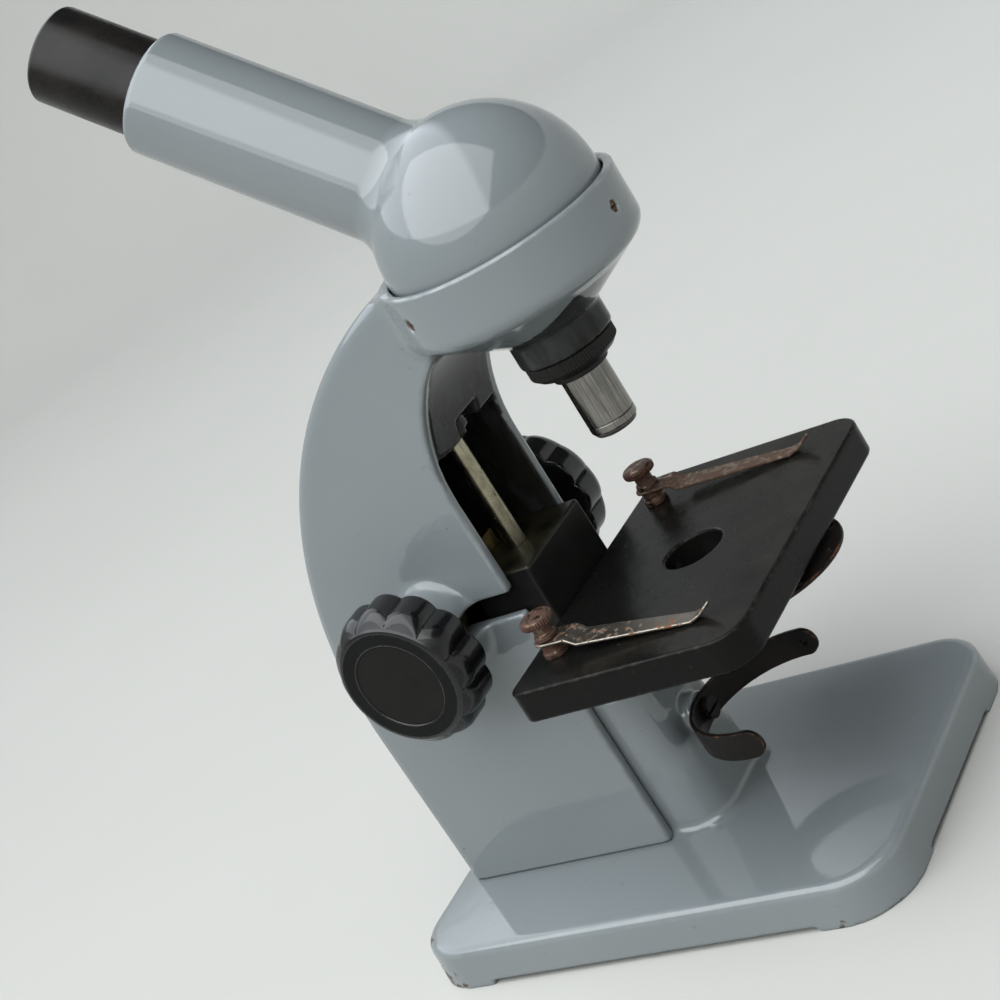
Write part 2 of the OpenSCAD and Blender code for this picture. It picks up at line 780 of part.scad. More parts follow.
module dome() {
    groove_z = grub_z;
    color([0.55, 0.60, 0.63]) difference() {
        union() {
            intersection() {
                on_tube() rotate_extrude($fn = 128) dome_outline();
                span_box([-far, -far, skirt_top], [far, far, far]);
            }
            on_axis() translate([0, 0, skirt_z]) cylinder(r = skirt_r, h = skirt_top - skirt_z + eps);
        }
        // Groove for the tips of the grub screws
        on_axis() difference() {
            translate([0, 0, groove_z - 2]) cylinder(r = far, h = 4);
            translate([0, 0, groove_z - 3]) cylinder(r = skirt_r - 1.6, h = 6);
        }
        on_axis() translate([0, 0, skirt_z - 1]) cylinder(r = dome_cavity_r - 0.5, h = skirt_top - skirt_z + 1);
        intersection() {
            translate([0, axis_y, dome_z]) sphere(dome_cavity_r);
            span_box([-far, -far, skirt_top - eps], [far, far, far]);
        }
        on_tube() {
            translate([0, 0, tube_end - eyepiece_in - 8]) cylinder(r = tube_bore_r, h = far);
            translate([0, 0, 20]) cylinder(r = 12, h = far);
        }
    }
}

module prism_holder() {
    plate_z = skirt_z + 2;
    plate_t = 2.5;
    color([0.2, 0.2, 0.2]) on_axis() {
        ring(dome_cavity_r - 0.5 - play, 8, plate_z, plate_z + plate_t);
        for (sx = [-1, 1]) translate([sx * 11, 0, plate_z + 6.5]) cube([2, 22, 9], center = true);
    }
}

module prism() {
    prism_w = 19;
    // Level face above the objective, face square to the tube, and two faces that reflect
    prism_outline = [[-10, -10.4], [10, -10.4], [19, 2], [6, 16], [-12, 6]];
    color([0.75, 0.85, 0.88, 0.6]) translate([-prism_w / 2, axis_y, dome_z])
        rotate([90, 0, 90]) linear_extrude(prism_w)
        polygon(prism_outline);
}

// ---------- eyepiece ----------

// Sleeve that slides into the tube, and the wider barrel that stops on the tube's end
module eyepiece_tube() {
    color([0.08, 0.08, 0.08]) on_tube() difference() {
        union() {
            translate([0, 0, tube_end - eyepiece_in]) cylinder(r = sleeve_r, h = eyepiece_in + 1);
            translate([0, 0, tube_end + eps]) cylinder(r = eyepiece_r, h = eyepiece_show - eps);
        }
        translate([0, 0, tube_end - eyepiece_in - 1]) cylinder(r = sleeve_bore_r, h = far);
        translate([0, 0, eyepiece_end - cap_depth]) cylinder(r = cap_seat_r, h = far);
    }
}

// Screwed-in cap with a cone-shaped eye opening
module eyepiece_cap() {
    cap_bore_r = 7;
    color([0.08, 0.08, 0.08]) on_tube() difference() {
        translate([0, 0, eyepiece_end - cap_depth]) cylinder(r = cap_seat_r - play, h = cap_depth - 0.4);
        translate([0, 0, eyepiece_end - cap_depth - 1]) cylinder(r = cap_bore_r, h = far);
        translate([0, 0, eyepiece_end - 3]) cylinder(r1 = cap_bore_r, r2 = cap_bore_r + 3.5, h = 3);
    }
}

module eye_lens() {
    color([0.7, 0.8, 0.85, 0.6]) on_tube()
        translate([0, 0, eyepiece_end - cap_depth - 4]) lens(sleeve_bore_r - play, 3.8, 20);
}

module field_lens() {
    color([0.7, 0.8, 0.85, 0.6]) on_tube()
        translate([0, 0, tube_end - eyepiece_in + 1]) lens(sleeve_bore_r - play, 3.6, 24);
}

module field_stop() {
    color([0.1, 0.1, 0.1]) on_tube() ring(sleeve_bore_r - play, 6.5, tube_end - 6, tube_end - 5);
}

base();
arm();
arm_bolts();
shaft_bushes();
guide_rod();
grub_screws();
knurled_ring();
objective_collar();
objective_barrel();
objective_tip();
objective_front_lens();
objective_rear_lens();
fork_screw();
mirror_fork();
carriage_block();
focus_rack();
rack_screws();
stage_plate();
stage_screws();
clip_collars();
clip_screws();
left_clip();
right_clip();
diaphragm_disc();
diaphragm_screw();
diaphragm_spacer();
pinion_shaft();
pinion();
left_knob();
right_knob();
knob_caps();
knob_screws();
dome();
prism_holder();
prism();
eyepiece_tube();
eyepiece_cap();
eye_lens();
field_lens();
field_stop();
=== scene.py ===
"""Looks of a school microscope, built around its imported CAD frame.

The shapes are signed distance fields turned into meshes, and lathed profiles. Shape code is in millimetres,
in the frame's own axes: +Z is up, -Y is the stage side, X = 0 is the plane of symmetry.
"""

import json
import math

import bmesh
import bpy
import numpy as np
from mathutils import Matrix, Vector


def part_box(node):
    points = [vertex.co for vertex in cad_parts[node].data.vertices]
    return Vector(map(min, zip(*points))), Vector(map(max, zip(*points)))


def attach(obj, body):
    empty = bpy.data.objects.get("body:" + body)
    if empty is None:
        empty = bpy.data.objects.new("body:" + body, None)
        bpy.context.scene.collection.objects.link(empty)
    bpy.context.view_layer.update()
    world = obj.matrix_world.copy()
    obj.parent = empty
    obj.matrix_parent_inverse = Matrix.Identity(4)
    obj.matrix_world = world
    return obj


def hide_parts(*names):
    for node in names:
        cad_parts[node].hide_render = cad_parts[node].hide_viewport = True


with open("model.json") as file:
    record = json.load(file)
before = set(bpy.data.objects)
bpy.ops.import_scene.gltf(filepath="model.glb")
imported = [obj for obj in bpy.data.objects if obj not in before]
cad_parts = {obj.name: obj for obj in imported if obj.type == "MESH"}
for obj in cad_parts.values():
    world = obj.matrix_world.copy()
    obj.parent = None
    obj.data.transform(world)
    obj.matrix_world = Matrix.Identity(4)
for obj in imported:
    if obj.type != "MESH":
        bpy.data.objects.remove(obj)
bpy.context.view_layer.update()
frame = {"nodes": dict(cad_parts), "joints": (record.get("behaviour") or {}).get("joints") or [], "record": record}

MM = 0.001
COARSE = 1.0


# ---------- sizes taken from the frame ----------

def box_mm(node):
    """Lowest and highest corner of a CAD node, in millimetres."""
    low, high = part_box(node)
    return np.array(low) / MM, np.array(high) / MM


def joint(name):
    """Joint of that name in the record."""
    return next(j for j in frame["joints"] if j["name"] == name)


base_low, base_high = box_mm("base")
arm_low, arm_high = box_mm("arm")
ring_low, ring_high = box_mm("knurled_ring")
collar_low, collar_high = box_mm("objective_collar")
barrel_low, barrel_high = box_mm("objective_barrel")
tip_low, tip_high = box_mm("objective_tip")
stage_low, stage_high = box_mm("stage_plate")
block_low, block_high = box_mm("carriage_block")
rod_low, rod_high = box_mm("guide_rod")
fork_low, fork_high = box_mm("mirror_fork")
fork_mid_z = (fork_low[2] + fork_high[2]) / 2
disc_low, disc_high = box_mm("diaphragm_disc")
knob_low, knob_high = box_mm("right_knob")
clip_screw_top = box_mm("clip_screws")[1][2]
clip_collar_top = box_mm("clip_collars")[1][2]
dome_high = box_mm("dome")[1]
shell_high = box_mm("eyepiece_tube")[1]

# Base and its pillar
axis_y = (ring_low[1] + ring_high[1]) / 2
base_mid_y = (base_low[1] + base_high[1]) / 2
base_half_w = (base_high[0] - base_low[0]) / 2
base_half_l = (base_high[1] - base_low[1]) / 2
base_corner_r = 19.0
pillar_top = base_high[2]
pillar_front_y = axis_y + 27.5
pillar_back_y = axis_y + 58.5
base_top = arm_low[2]

# Arm, its cup and the nose under the cup
cup_r = axis_y - arm_low[1]
rim_z = arm_high[2]
nose_z = 161.0
bowl_z = 168.6
bowl_slope = math.radians(30.3)
arm_back_y = arm_high[1]
boss_x = arm_high[0]
arm_half = 22.0
arm_wall = 3.8
half_in = arm_half - arm_wall
arm_front_y = axis_y + 46
web_z = 146.8

# Focusing shaft and guide rod
shaft_y, shaft_z = [v / MM for v in joint("focus_turn")["pos_m"][1:]]
rod_y = (rod_low[1] + rod_high[1]) / 2
rod_r = rod_high[0]

# Dome and its tube. Ends are measured along the tube from the dome's centre.
dome_r = dome_high[0]
dome_z = rim_z + 1.1
tube_r = 17.1
tube_edge_r = 1.2
tube_flat_r = tube_r - tube_edge_r
tube_axis = np.array(joint("eyepiece_pull")["axis"])
tube_end = (dome_high[2] - dome_z - tube_edge_r - tube_flat_r * tube_axis[1]) / tube_axis[2] + tube_edge_r
shell_r = shell_high[0]
eyepiece_end = (shell_high[2] - dome_z - shell_r * tube_axis[1]) / tube_axis[2]

# Screws of the clips, and the angles round the cup of its three grub screws
clip_x, clip_y = [v / MM for v in joint("right_clip_turn")["pos_m"][:2]]
grub_angles = [math.radians(a) for a in (-90, 30, 150)]
grub_z = 190.4


# ---------- distance fields ----------

def both(a, b, r=0.0):
    """Overlap of two solids, its outer edge rounded to radius r."""
    if r <= 0:
        return np.maximum(a, b)
    return np.minimum(-r, np.maximum(a, b)) + np.hypot(np.maximum(a + r, 0), np.maximum(b + r, 0))


def joined(a, b, r=0.0):
    """Two solids made one, with a fillet of radius r between them."""
    if r <= 0:
        return np.minimum(a, b)
    return np.maximum(r, np.minimum(a, b)) - np.hypot(np.maximum(r - a, 0), np.maximum(r - b, 0))


def without(a, b, r=0.0):
    """Solid a with b cut out of it, the cut's edge rounded to radius r."""
    return both(a, -b, r)


def rounded_rect(x, y, half_x, half_y, r):
    """Distance in a plane to a rectangle with round corners, centred on the origin."""
    dx = np.abs(x) - (half_x - r)
    dy = np.abs(y) - (half_y - r)
    return np.hypot(np.maximum(dx, 0), np.maximum(dy, 0)) + np.minimum(np.maximum(dx, dy), 0) - r


def span(value, low, high):
    """Distance to the slab between two values."""
    return np.abs(value - (low + high) / 2) - (high - low) / 2


def polyline(u, v, points):
    """Distance in a plane to an open chain of points."""
    best = None
    for (u0, v0), (u1, v1) in zip(points[:-1], points[1:]):
        du, dv = u1 - u0, v1 - v0
        t = np.clip(((u - u0) * du + (v - v0) * dv) / (du * du + dv * dv), 0, 1)
        d = np.hypot(u - u0 - t * du, v - v0 - t * dv)
        best = d if best is None else np.minimum(best, d)
    return best


# ---------- meshing ----------

CORNERS = [(i, j, k) for i in (0, 1) for j in (0, 1) for k in (0, 1)]
CUBE_EDGES = [(a, b) for a in range(8) for b in range(a + 1, 8)
              if sum(abs(p - q) for p, q in zip(CORNERS[a], CORNERS[b])) == 1]


def cell_points(values, cells):
    """One point in each cell that the surface crosses: the mean of its edge crossings."""
    at_corner = [values[tuple((cells + c).T)] for c in CORNERS]
    total = np.zeros((len(cells), 3))
    number = np.zeros(len(cells))
    for a, b in CUBE_EDGES:
        crossed = (at_corner[a] < 0) != (at_corner[b] < 0)
        share = at_corner[a] / np.where(crossed, at_corner[a] - at_corner[b], 1)
        start = np.array(CORNERS[a], float)
        way = np.array(CORNERS[b], float) - start
        total += np.where(crossed[:, None], start + share[:, None] * way, 0)
        number += crossed
    return cells + total / number[:, None]


def cell_quads(inside, index):
    """One quad across each grid edge that the surface crosses."""
    quads = []
    for axis in range(3):
        u, v = (axis + 1) % 3, (axis + 2) % 3
        inner = [slice(1, -1)] * 3
        inner[axis] = slice(0, -1)
        upper = [slice(1, -1)] * 3
        upper[axis] = slice(1, None)
        low_in = inside[tuple(inner)]
        crossed = np.argwhere(low_in != inside[tuple(upper)])
        flip = ~low_in[tuple(crossed.T)]
        around = []
        for step_u, step_v in ((0, 0), (1, 0), (1, 1), (0, 1)):
            cell = crossed.copy()
            cell[:, u] += step_u
            cell[:, v] += step_v
            around.append(index[tuple(cell.T)])
        quad = np.stack(around, 1)
        quad[flip] = quad[flip][:, ::-1]
        quads.append(quad)
    return np.concatenate(quads)


def relaxed(points, quads):
    """Points moved to the mean of their neighbours."""
    ends = np.concatenate([quads, np.roll(quads, 1, 1)]).ravel()
    others = np.concatenate([np.roll(quads, 1, 1), quads]).ravel()
    number = np.bincount(ends, minlength=len(points))
    mean = [np.bincount(ends, points[others, i], len(points)) / number for i in range(3)]
    return np.stack(mean, 1)


def on_surface(field, points, step, rounds=2):
    """Points moved onto the surface, and the surface's curvature there (positive on outer edges)."""
    for _ in range(rounds):
        value = field(*points.T)
        pairs = []
        for i in range(3):
            shift = np.zeros(3)
            shift[i] = step
            pairs.append((field(*(points + shift).T), field(*(points - shift).T)))
        slope = np.stack([(a - b) / (2 * step) for a, b in pairs], 1)
        curvature = sum(a + b - 2 * value for a, b in pairs) / step ** 2
        move = value[:, None] * slope / np.maximum((slope ** 2).sum(1), 0.2)[:, None]
        points = points - np.clip(move, -step, step)
    return points, curvature


def field_mesh(field, low, high, pitch):
    """Points, quads and curvature of the surface where the field is zero, inside a box."""
    pitch = pitch * COARSE
    low = np.array(low, float) - 1.5 * pitch
    count = np.ceil((np.array(high, float) + 1.5 * pitch - low) / pitch).astype(int) + 1
    axes = [(low[i] + pitch * np.arange(count[i])).astype(np.float32) for i in range(3)]
    values = np.broadcast_to(field(*np.meshgrid(*axes, indexing="ij", sparse=True)), tuple(count))
    inside = values < 0
    size = [n - 1 for n in count]
    filled = sum(inside[i:i + size[0], j:j + size[1], k:k + size[2]].astype(np.int8) for i, j, k in CORNERS)
    active = (filled > 0) & (filled < 8)
    cells = np.argwhere(active)
    index = np.full(active.shape, -1, np.int32)
    index[active] = np.arange(len(cells))
    points = low + pitch * cell_points(values, cells)
    quads = cell_quads(inside, index)
    for _ in range(3):
        points, curvature = on_surface(field, relaxed(points, quads), 0.35 * pitch)
    return points, quads, curvature


def keep_values(made, name, values):
    """Keeps one number per point on a mesh, for its material."""
    layer = made.data.attributes.new(name, "FLOAT", "POINT")
    layer.data.foreach_set("value", np.asarray(values, np.float32))


def new_object(name, points, faces, curvature=None):
    """Smooth mesh object from points in millimetres. Its curvature is kept for the materials."""
    mesh = bpy.data.meshes.new(name)
    mesh.from_pydata((np.asarray(points) * MM).tolist(), [], np.asarray(faces).tolist())
    mesh.shade_smooth()
    made = bpy.data.objects.new(name, mesh)
    bpy.context.scene.collection.objects.link(made)
    if curvature is not None:
        keep_values(made, "edge", np.clip(curvature, -2, 2))
    return made


def smoothed_profile(profile, radius, steps=4):
    """Closed profile whose corners are rounded to about that radius."""
    points = [np.array(p, float) for p in profile]
    result = []
    for i, corner in enumerate(points):
        before = points[i - 1] - corner
        after = points[(i + 1) % len(points)] - corner
        cut = min(radius, 0.45 * np.linalg.norm(before), 0.45 * np.linalg.norm(after))
        a = corner + before / np.linalg.norm(before) * cut
        b = corner + after / np.linalg.norm(after) * cut
        for t in np.linspace(0, 1, steps + 1):
            result.append((1 - t) ** 2 * a + 2 * t * (1 - t) * corner + t ** 2 * b)
    return result


def lathed(name, profile, centre, axis=(0, 0, 1), edge_r=0.3, segments=144, ripple=None):
    """Closed profile of (radius, height) pairs turned about an axis through centre.

    ripple(radius, height, angle) returns a changed radius.
    """
    outline = np.array(smoothed_profile(profile, edge_r))
    angle = np.linspace(0, 2 * math.pi, segments, endpoint=False)
    radius = np.broadcast_to(outline[:, :1], (len(outline), segments))
    height = np.broadcast_to(outline[:, 1:], (len(outline), segments))
    if ripple:
        radius = ripple(radius, height, angle)
    local = np.stack([radius * np.cos(angle), radius * np.sin(angle), height], 2).reshape(-1, 3)
    turn = np.array(Vector((0, 0, 1)).rotation_difference(Vector(axis)).to_matrix())
    points = local @ turn.T + np.array(centre)
    rows = len(outline)
    i, j = [a.ravel() for a in np.meshgrid(np.arange(rows), np.arange(segments), indexing="ij")]
    up, right = (i + 1) % rows, (j + 1) % segments
    faces = np.stack([i * segments + j, i * segments + right, up * segments + right, up * segments + j], 1)
    made = new_object(name, points, faces)
    work = bmesh.new()
    work.from_mesh(made.data)
    bmesh.ops.remove_doubles(work, verts=work.verts, dist=1e-7)
    bmesh.ops.recalc_face_normals(work, faces=work.faces)
    work.to_mesh(made.data)
    work.free()
    made.data.set_sharp_from_angle(angle=math.radians(50))
    return made


# ---------- castings ----------

def base_field(x, y, z):
    """Flat base with corner feet, a hollow underside and the pillar that carries the rod and the fork."""
    draft = 0.07
    shell = 5.0
    top_edge_r = 2.4
    foot_l = 27.0
    foot_lift = 1.5
    pillar_half_w = half_in - 0.2
    pillar_corner_r = 9.0
    pillar_lean = 5.5
    seat_r = 6.0
    seat_l = 11.0
    rod_socket_z = 48.0
    plan = rounded_rect(x, y - base_mid_y, base_half_w, base_half_l, base_corner_r) + draft * z
    slab = both(plan, z - base_top, top_edge_r)
    slab = both(slab, -z, 0.4)
    slab = without(slab, both(plan + shell, z - (base_top - shell), 2), 0.4)
    between_y = np.abs(y - base_mid_y) - (base_half_l - foot_l)
    between_x = np.abs(x) - (base_half_w - foot_l)
    between = np.minimum(between_y, between_x)
    slab = without(slab, both(z - foot_lift, between, 0.2), 0.3)
    # The pillar's front leans back. Its rectangle runs past its back, so only the front corners are round.
    front = pillar_front_y + pillar_lean * np.clip((z - base_top) / (pillar_top - base_top), 0, 1)
    hidden_back = pillar_back_y + 10
    middle = (front + hidden_back) / 2
    plan = rounded_rect(x, y - middle, pillar_half_w, (hidden_back - front) / 2, pillar_corner_r)
    plan = both(plan, y - pillar_back_y, 1)
    pillar = both(both(plan, z - pillar_top, 1.6), 2 - z)
    solid = joined(slab, pillar, 3.2)
    # Round seat of the fork's screw, and the socket of the guide rod
    seat = np.hypot(x, z - fork_mid_z) - seat_r
    seat = both(seat, span(y, pillar_front_y - 0.1, pillar_front_y + seat_l), 0.4)
    solid = joined(solid, seat, 1.5)
    socket = both(np.hypot(x, y - rod_y) - rod_r - 0.05, rod_socket_z - z)
    return without(solid, socket, 0.3)


def arm_side(y, z):
    """Distance to the arm's outer back edge, and to its front edge, seen from the side."""
    bend_z, back_r = 70.0, 136.0
    front_r, front_z = 51.0, 135.0
    centre_y = arm_back_y - back_r
    back = np.where(z > bend_z, np.hypot(y - centre_y, z - bend_z) - back_r, y - arm_back_y + 0 * z)
    bowl = front_r - np.hypot(y - (arm_front_y - front_r), np.maximum(z - front_z, 0))
    front = np.where(z > front_z, bowl, arm_front_y - y + 0 * z)
    front = np.where(y < arm_front_y - front_r, np.maximum(front, front_z + front_r - z), front)
    return back, front


def arm_field(x, y, z):
    """Hollow arm with its cup, the web under the cup, shaft bosses and the slot for the shaft."""
    ax = np.abs(x)
    inner_half = half_in + 1
    notch_left, notch_right, notch_top = -4.2, 8.3, 152.4
    web_right_z = 148.3
    web_back = 6.0
    lug_r = 7.0
    lug_top = 162.0
    rear_lug_l = 29.0
    rear_lug_top = 28.0
    nose_r = 14.0
    rim_wall = 2.7
    well_floor_z = 184.0
    light_bore_r = 10.0
    boss_r = 13.5
    slot_half_h = 3.8
    shaft_bore_r = 6.0
    grub_hole_r = 1.7
    back, front = arm_side(y, z)
    outer = both(ax - arm_half, back, 4)
    channel = both(ax - half_in, back + 4, 1)
    walls = without(outer, channel)
    # Web behind the front edge, from its notched lower end up to the cup
    web_left_z = web_z + 1.4 * np.clip((-x - 6) / 12, 0, 1) ** 2
    web_low = np.where(x < 0, web_left_z, web_right_z)
    web = both(both(ax - inner_half, -front - web_back), web_low - z, 0.6)
    web = without(web, both(span(x, notch_left, notch_right), z - notch_top, 0.8), 0.5)
    # Lug that holds the rod's top, and the rear lug that the base bolts go into
    lug = both(both(np.hypot(x, y - rod_y) - lug_r, web_low - z, 0.6), z - lug_top)
    rear_lug = both(both(ax - inner_half, arm_back_y - rear_lug_l - y, 1), z - rear_lug_top, 1)
    solid = np.minimum(np.minimum(walls, joined(web, lug, 1)), both(rear_lug, back))
    solid = both(solid, front, 1.2)
    solid = both(solid, base_top + 0.25 - z, 0.5)
    # Cup: round wall, cone-shaped underside and the nose that carries the objective
    r = np.hypot(x, y - axis_y)
    behind = both(both(solid, z - rim_z + 1), axis_y - y)
    bowl = (r - nose_r) * math.sin(bowl_slope) - (z - bowl_z) * math.cos(bowl_slope)
    cup = both(both(r - cup_r, bowl, 2.5), z - rim_z, 0.7)
    nose = both(both(r - nose_r, nose_z - z, 0.4), z - 175)
    cup = joined(cup, nose, 1.2)
    solid = joined(behind, cup, 3.5)
    well = both(r - (cup_r - rim_wall), well_floor_z - z, 0.5)
    light_bore = both(r - light_bore_r, z - well_floor_z - 1)
    solid = without(without(solid, well, 0.7), light_bore, 0.3)
    # Bosses for the focusing shaft, the slot it goes in through, its bore and the rod's bore
    from_shaft = np.hypot(y - shaft_y, z - shaft_z)
    boss = both(from_shaft - boss_r, span(ax, arm_half - 2, boss_x), 1.6)
    solid = joined(solid, boss, 3.5)
    slot = both(both(np.abs(z - shaft_z) - slot_half_h, y - shaft_y), arm_front_y - 20 - y)
    solid = without(without(solid, slot, 0.9), from_shaft - shaft_bore_r, 0.3)
    solid = without(solid, both(np.hypot(x, y - rod_y) - rod_r - 0.05, z - rod_high[2]))
    for angle in grub_angles:
        along = x * math.cos(angle) + (y - axis_y) * math.sin(angle)
        across = -x * math.sin(angle) + (y - axis_y) * math.cos(angle)
        hole = both(np.hypot(across, z - grub_z) - grub_hole_r, cup_r - 6 - along)
        solid = without(solid, hole, 0.35)
    return solid


def arm_channel_shade(x, y, z):
    """How much painted shade darkens the arm: 1 on the walls of its channel, less on its web, 0 on the enamelled
    outside.
    """
    back, front = arm_side(y, z)
    on_web = 0.94
    below_cup = (z < bowl_z + 9) & (back < -3.5)
    channel = np.where(np.abs(x) < half_in + 0.4, 1.0, 0.0)
    web = np.where(z > web_z - 0.5, on_web, 1.0)
    return np.where(below_cup, channel * np.where(front < -7, 1.0, web), 0.0)


def dome_field(x, y, z):
    """Swivelling dome with its inclined tube, hollow from the cavity to the tube's end."""
    dome_wall = 3.5
    bore_r = 11.7
    bottom_z = 184.2
    across = -(y - axis_y) * tube_axis[2] + (z - dome_z) * tube_axis[1]
    along = (y - axis_y) * tube_axis[1] + (z - dome_z) * tube_axis[2]
    r = np.hypot(x, across)
    ball = np.sqrt(x ** 2 + (y - axis_y) ** 2 + (z - dome_z) ** 2) - dome_r
    tube = both(both(r - tube_r, along - tube_end, tube_edge_r + 0.5), -along)
    solid = joined(ball, tube, 4.2)
    # Inside the cup the dome is a straight skirt
    skirt = np.hypot(x, y - axis_y) - (dome_r - 0.3)
    solid = np.where(z < rim_z - 1, skirt, solid)
    solid = both(solid, bottom_z - z, 0.5)
    cavity = both(ball + dome_wall, 20 - along)
    bore = both(r - bore_r, 60 - along)
    return without(solid, np.minimum(cavity, bore), 0.3)


def stage_field(x, y, z):
    """Stage plate: large round corners in front, small ones behind, and the light hole."""
    front_corner, back_corner = 10.0, 4.0
    edge_r = 0.8
    light_hole_r = 8.9
    mid = (stage_low + stage_high) / 2
    half = (stage_high - stage_low) / 2
    front = rounded_rect(x, y - mid[1], half[0], half[1], front_corner)
    back = rounded_rect(x, y - mid[1], half[0], half[1], back_corner)
    plan = np.where(y < mid[1], front, back)
    plate = both(both(plan, z - stage_high[2], edge_r), stage_low[2] - z, edge_r)
    return without(plate, np.hypot(x, y - axis_y) - light_hole_r, 0.7)


def carriage_field(x, y, z):
    """Block that slides on the rod, with the ledge that the stage stands on."""
    side = np.abs(x) - block_high[0]
    upright_r = 1.2
    block = both(side, span(y, stage_high[1], block_high[1]), upright_r)
    block = both(block, span(z, block_low[2], block_high[2]), 0.8)
    ledge = both(side, span(y, block_low[1], block_high[1] - 3), upright_r)
    ledge = both(ledge, span(z, block_low[2], stage_low[2]), 0.4)
    return without(np.minimum(block, ledge), np.hypot(x, y - rod_y) - rod_r - 0.04, 0.4)


def fork_field(x, y, z):
    """Bent strip that holds the mirror: a half circle with two round-ended arms."""
    outer_r = fork_high[0]
    thick = 1.6
    edge_r = 0.35
    dimple_r = 1.0
    screw_r = 2.0
    half_h = (fork_high[2] - fork_low[2]) / 2
    centre_y = fork_high[1] - outer_r
    tip_y = fork_low[1] + half_h
    radius = np.hypot(x, np.maximum(y - centre_y, 0))
    strip = np.abs(radius - (outer_r - thick / 2)) - thick / 2
    sides = np.hypot(np.minimum(y - tip_y, 0), z - fork_mid_z) - half_h
    solid = both(strip, sides, edge_r)
    from_inside = np.abs(x) - outer_r + thick
    dimple = np.sqrt(from_inside ** 2 + (y - tip_y) ** 2 + (z - fork_mid_z) ** 2) - dimple_r
    screw_hole = both(np.hypot(x, z - fork_mid_z) - screw_r, centre_y - y)
    return without(without(solid, dimple), screw_hole)


def disc_field(x, y, z):
    """Disc diaphragm with five openings of growing size and the click holes near its rim."""
    mid_y = (disc_low[1] + disc_high[1]) / 2
    disc_r = disc_high[0]
    opening_radii = (2, 3, 4, 5, 6)
    click_holes = 10
    click_hole_r = 0.9
    click_circle_r = disc_r - 2.6
    screw_hole_r = 2.04

    def from_centre(distance, angle):
        """Distance to a point at that distance and angle from the disc's middle."""
        return np.hypot(x - distance * math.cos(angle), y - mid_y - distance * math.sin(angle))

    solid = both(from_centre(0, 0) - disc_r, span(z, disc_low[2], disc_high[2]), 0.4)
    for i, opening_r in enumerate(opening_radii):
        angle = math.radians(90 + 360 / len(opening_radii) * i)
        solid = without(solid, from_centre(axis_y - mid_y, angle) - opening_r, 0.15)
    for i in range(click_holes):
        angle = math.radians(360 / click_holes * (i + 0.5))
        solid = without(solid, from_centre(click_circle_r, angle) - click_hole_r, 0.1)
    return without(solid, from_centre(0, 0) - screw_hole_r)


def knob_field(side):
    """Field of one focusing knob: twelve lobes that slope in to a flat face with a recess."""
    face_x = knob_high[0]
    knob_r = (knob_high[2] - knob_low[2]) / 2
    lobes = 12
    lobe_r = 7.3
    sector = 2 * math.pi / lobes
    first = math.radians(5)
    face_r = 18.5
    grip_l = 13.5
    hub_r = 9.0
    recess_r, recess_depth = 13.5, 1.2
    well_r, well_depth = 4.5, 5.2
    shaft_hole_r = 3.55

    def field(x, y, z):
        """Distance to the knob. out is how far a point stands out of its face."""
        out = side * x - face_x
        dy, dz = y - shaft_y, z - shaft_z
        r = np.hypot(dy, dz)
        angle = np.arctan2(dz, dy) - first
        angle = np.abs(np.mod(angle + sector / 2, sector) - sector / 2)
        lobe = np.hypot(r * np.cos(angle) - (knob_r - lobe_r), r * np.sin(angle)) - lobe_r
        shoulder = (r - face_r + out) * math.sqrt(0.5)
        grip = both(both(lobe, shoulder, 1.6), out, 0.4)
        solid = both(grip, -grip_l - out, 1.0)
        hub = both(both(r - hub_r, knob_low[0] - side * x, 0.5), out + 5)
        solid = joined(solid, hub, 1)
        solid = without(solid, both(r - recess_r, -recess_depth - out), 0.25)
        solid = without(solid, both(r - well_r, -well_depth - out))
        return without(solid, both(r - shaft_hole_r, out + 6))

    return field


def clip_field(side):
    """Field of one stage clip: a cranked spring blade with a pointed, turned-up tip."""
    thick = 0.8
    splay = math.radians(3.3)
    root_r = 4.2
    tip = -54.3
    screw_r = 2.0
    # Underside as (place along the blade, height over the stage), and half widths along the blade
    under = [(5.0, 4.8), (-7.8, 4.8), (-10.8, 2.7), (-47.3, 0.35), (-50.5, 1.3), (-54.2, 3.7)]
    chain = [(v, h + thick / 2) for v, h in under]
    places = [tip, -51.5, -47.3, -10.8, -7.8, 0, 8]
    half_widths = [0.3, 1.5, 2.5, 4.0, 4.1, root_r, root_r]

    def field(x, y, z):
        """Distance to the clip. u runs across the blade and v back along it, from the screw."""
        dx, dy = x - side * clip_x, y - clip_y
        u = dx * math.cos(splay) + side * dy * math.sin(splay)
        v = -side * dx * math.sin(splay) + dy * math.cos(splay)
        blade = polyline(v, z - stage_high[2], chain) - thick / 2
        from_screw = np.hypot(u, v)
        plan = np.where(v > 0, from_screw - root_r, np.abs(u) - np.interp(v, places, half_widths))
        solid = both(blade, np.maximum(plan, tip - v), 0.2)
        return without(solid, from_screw - screw_r)

    return field


# ---------- materials ----------

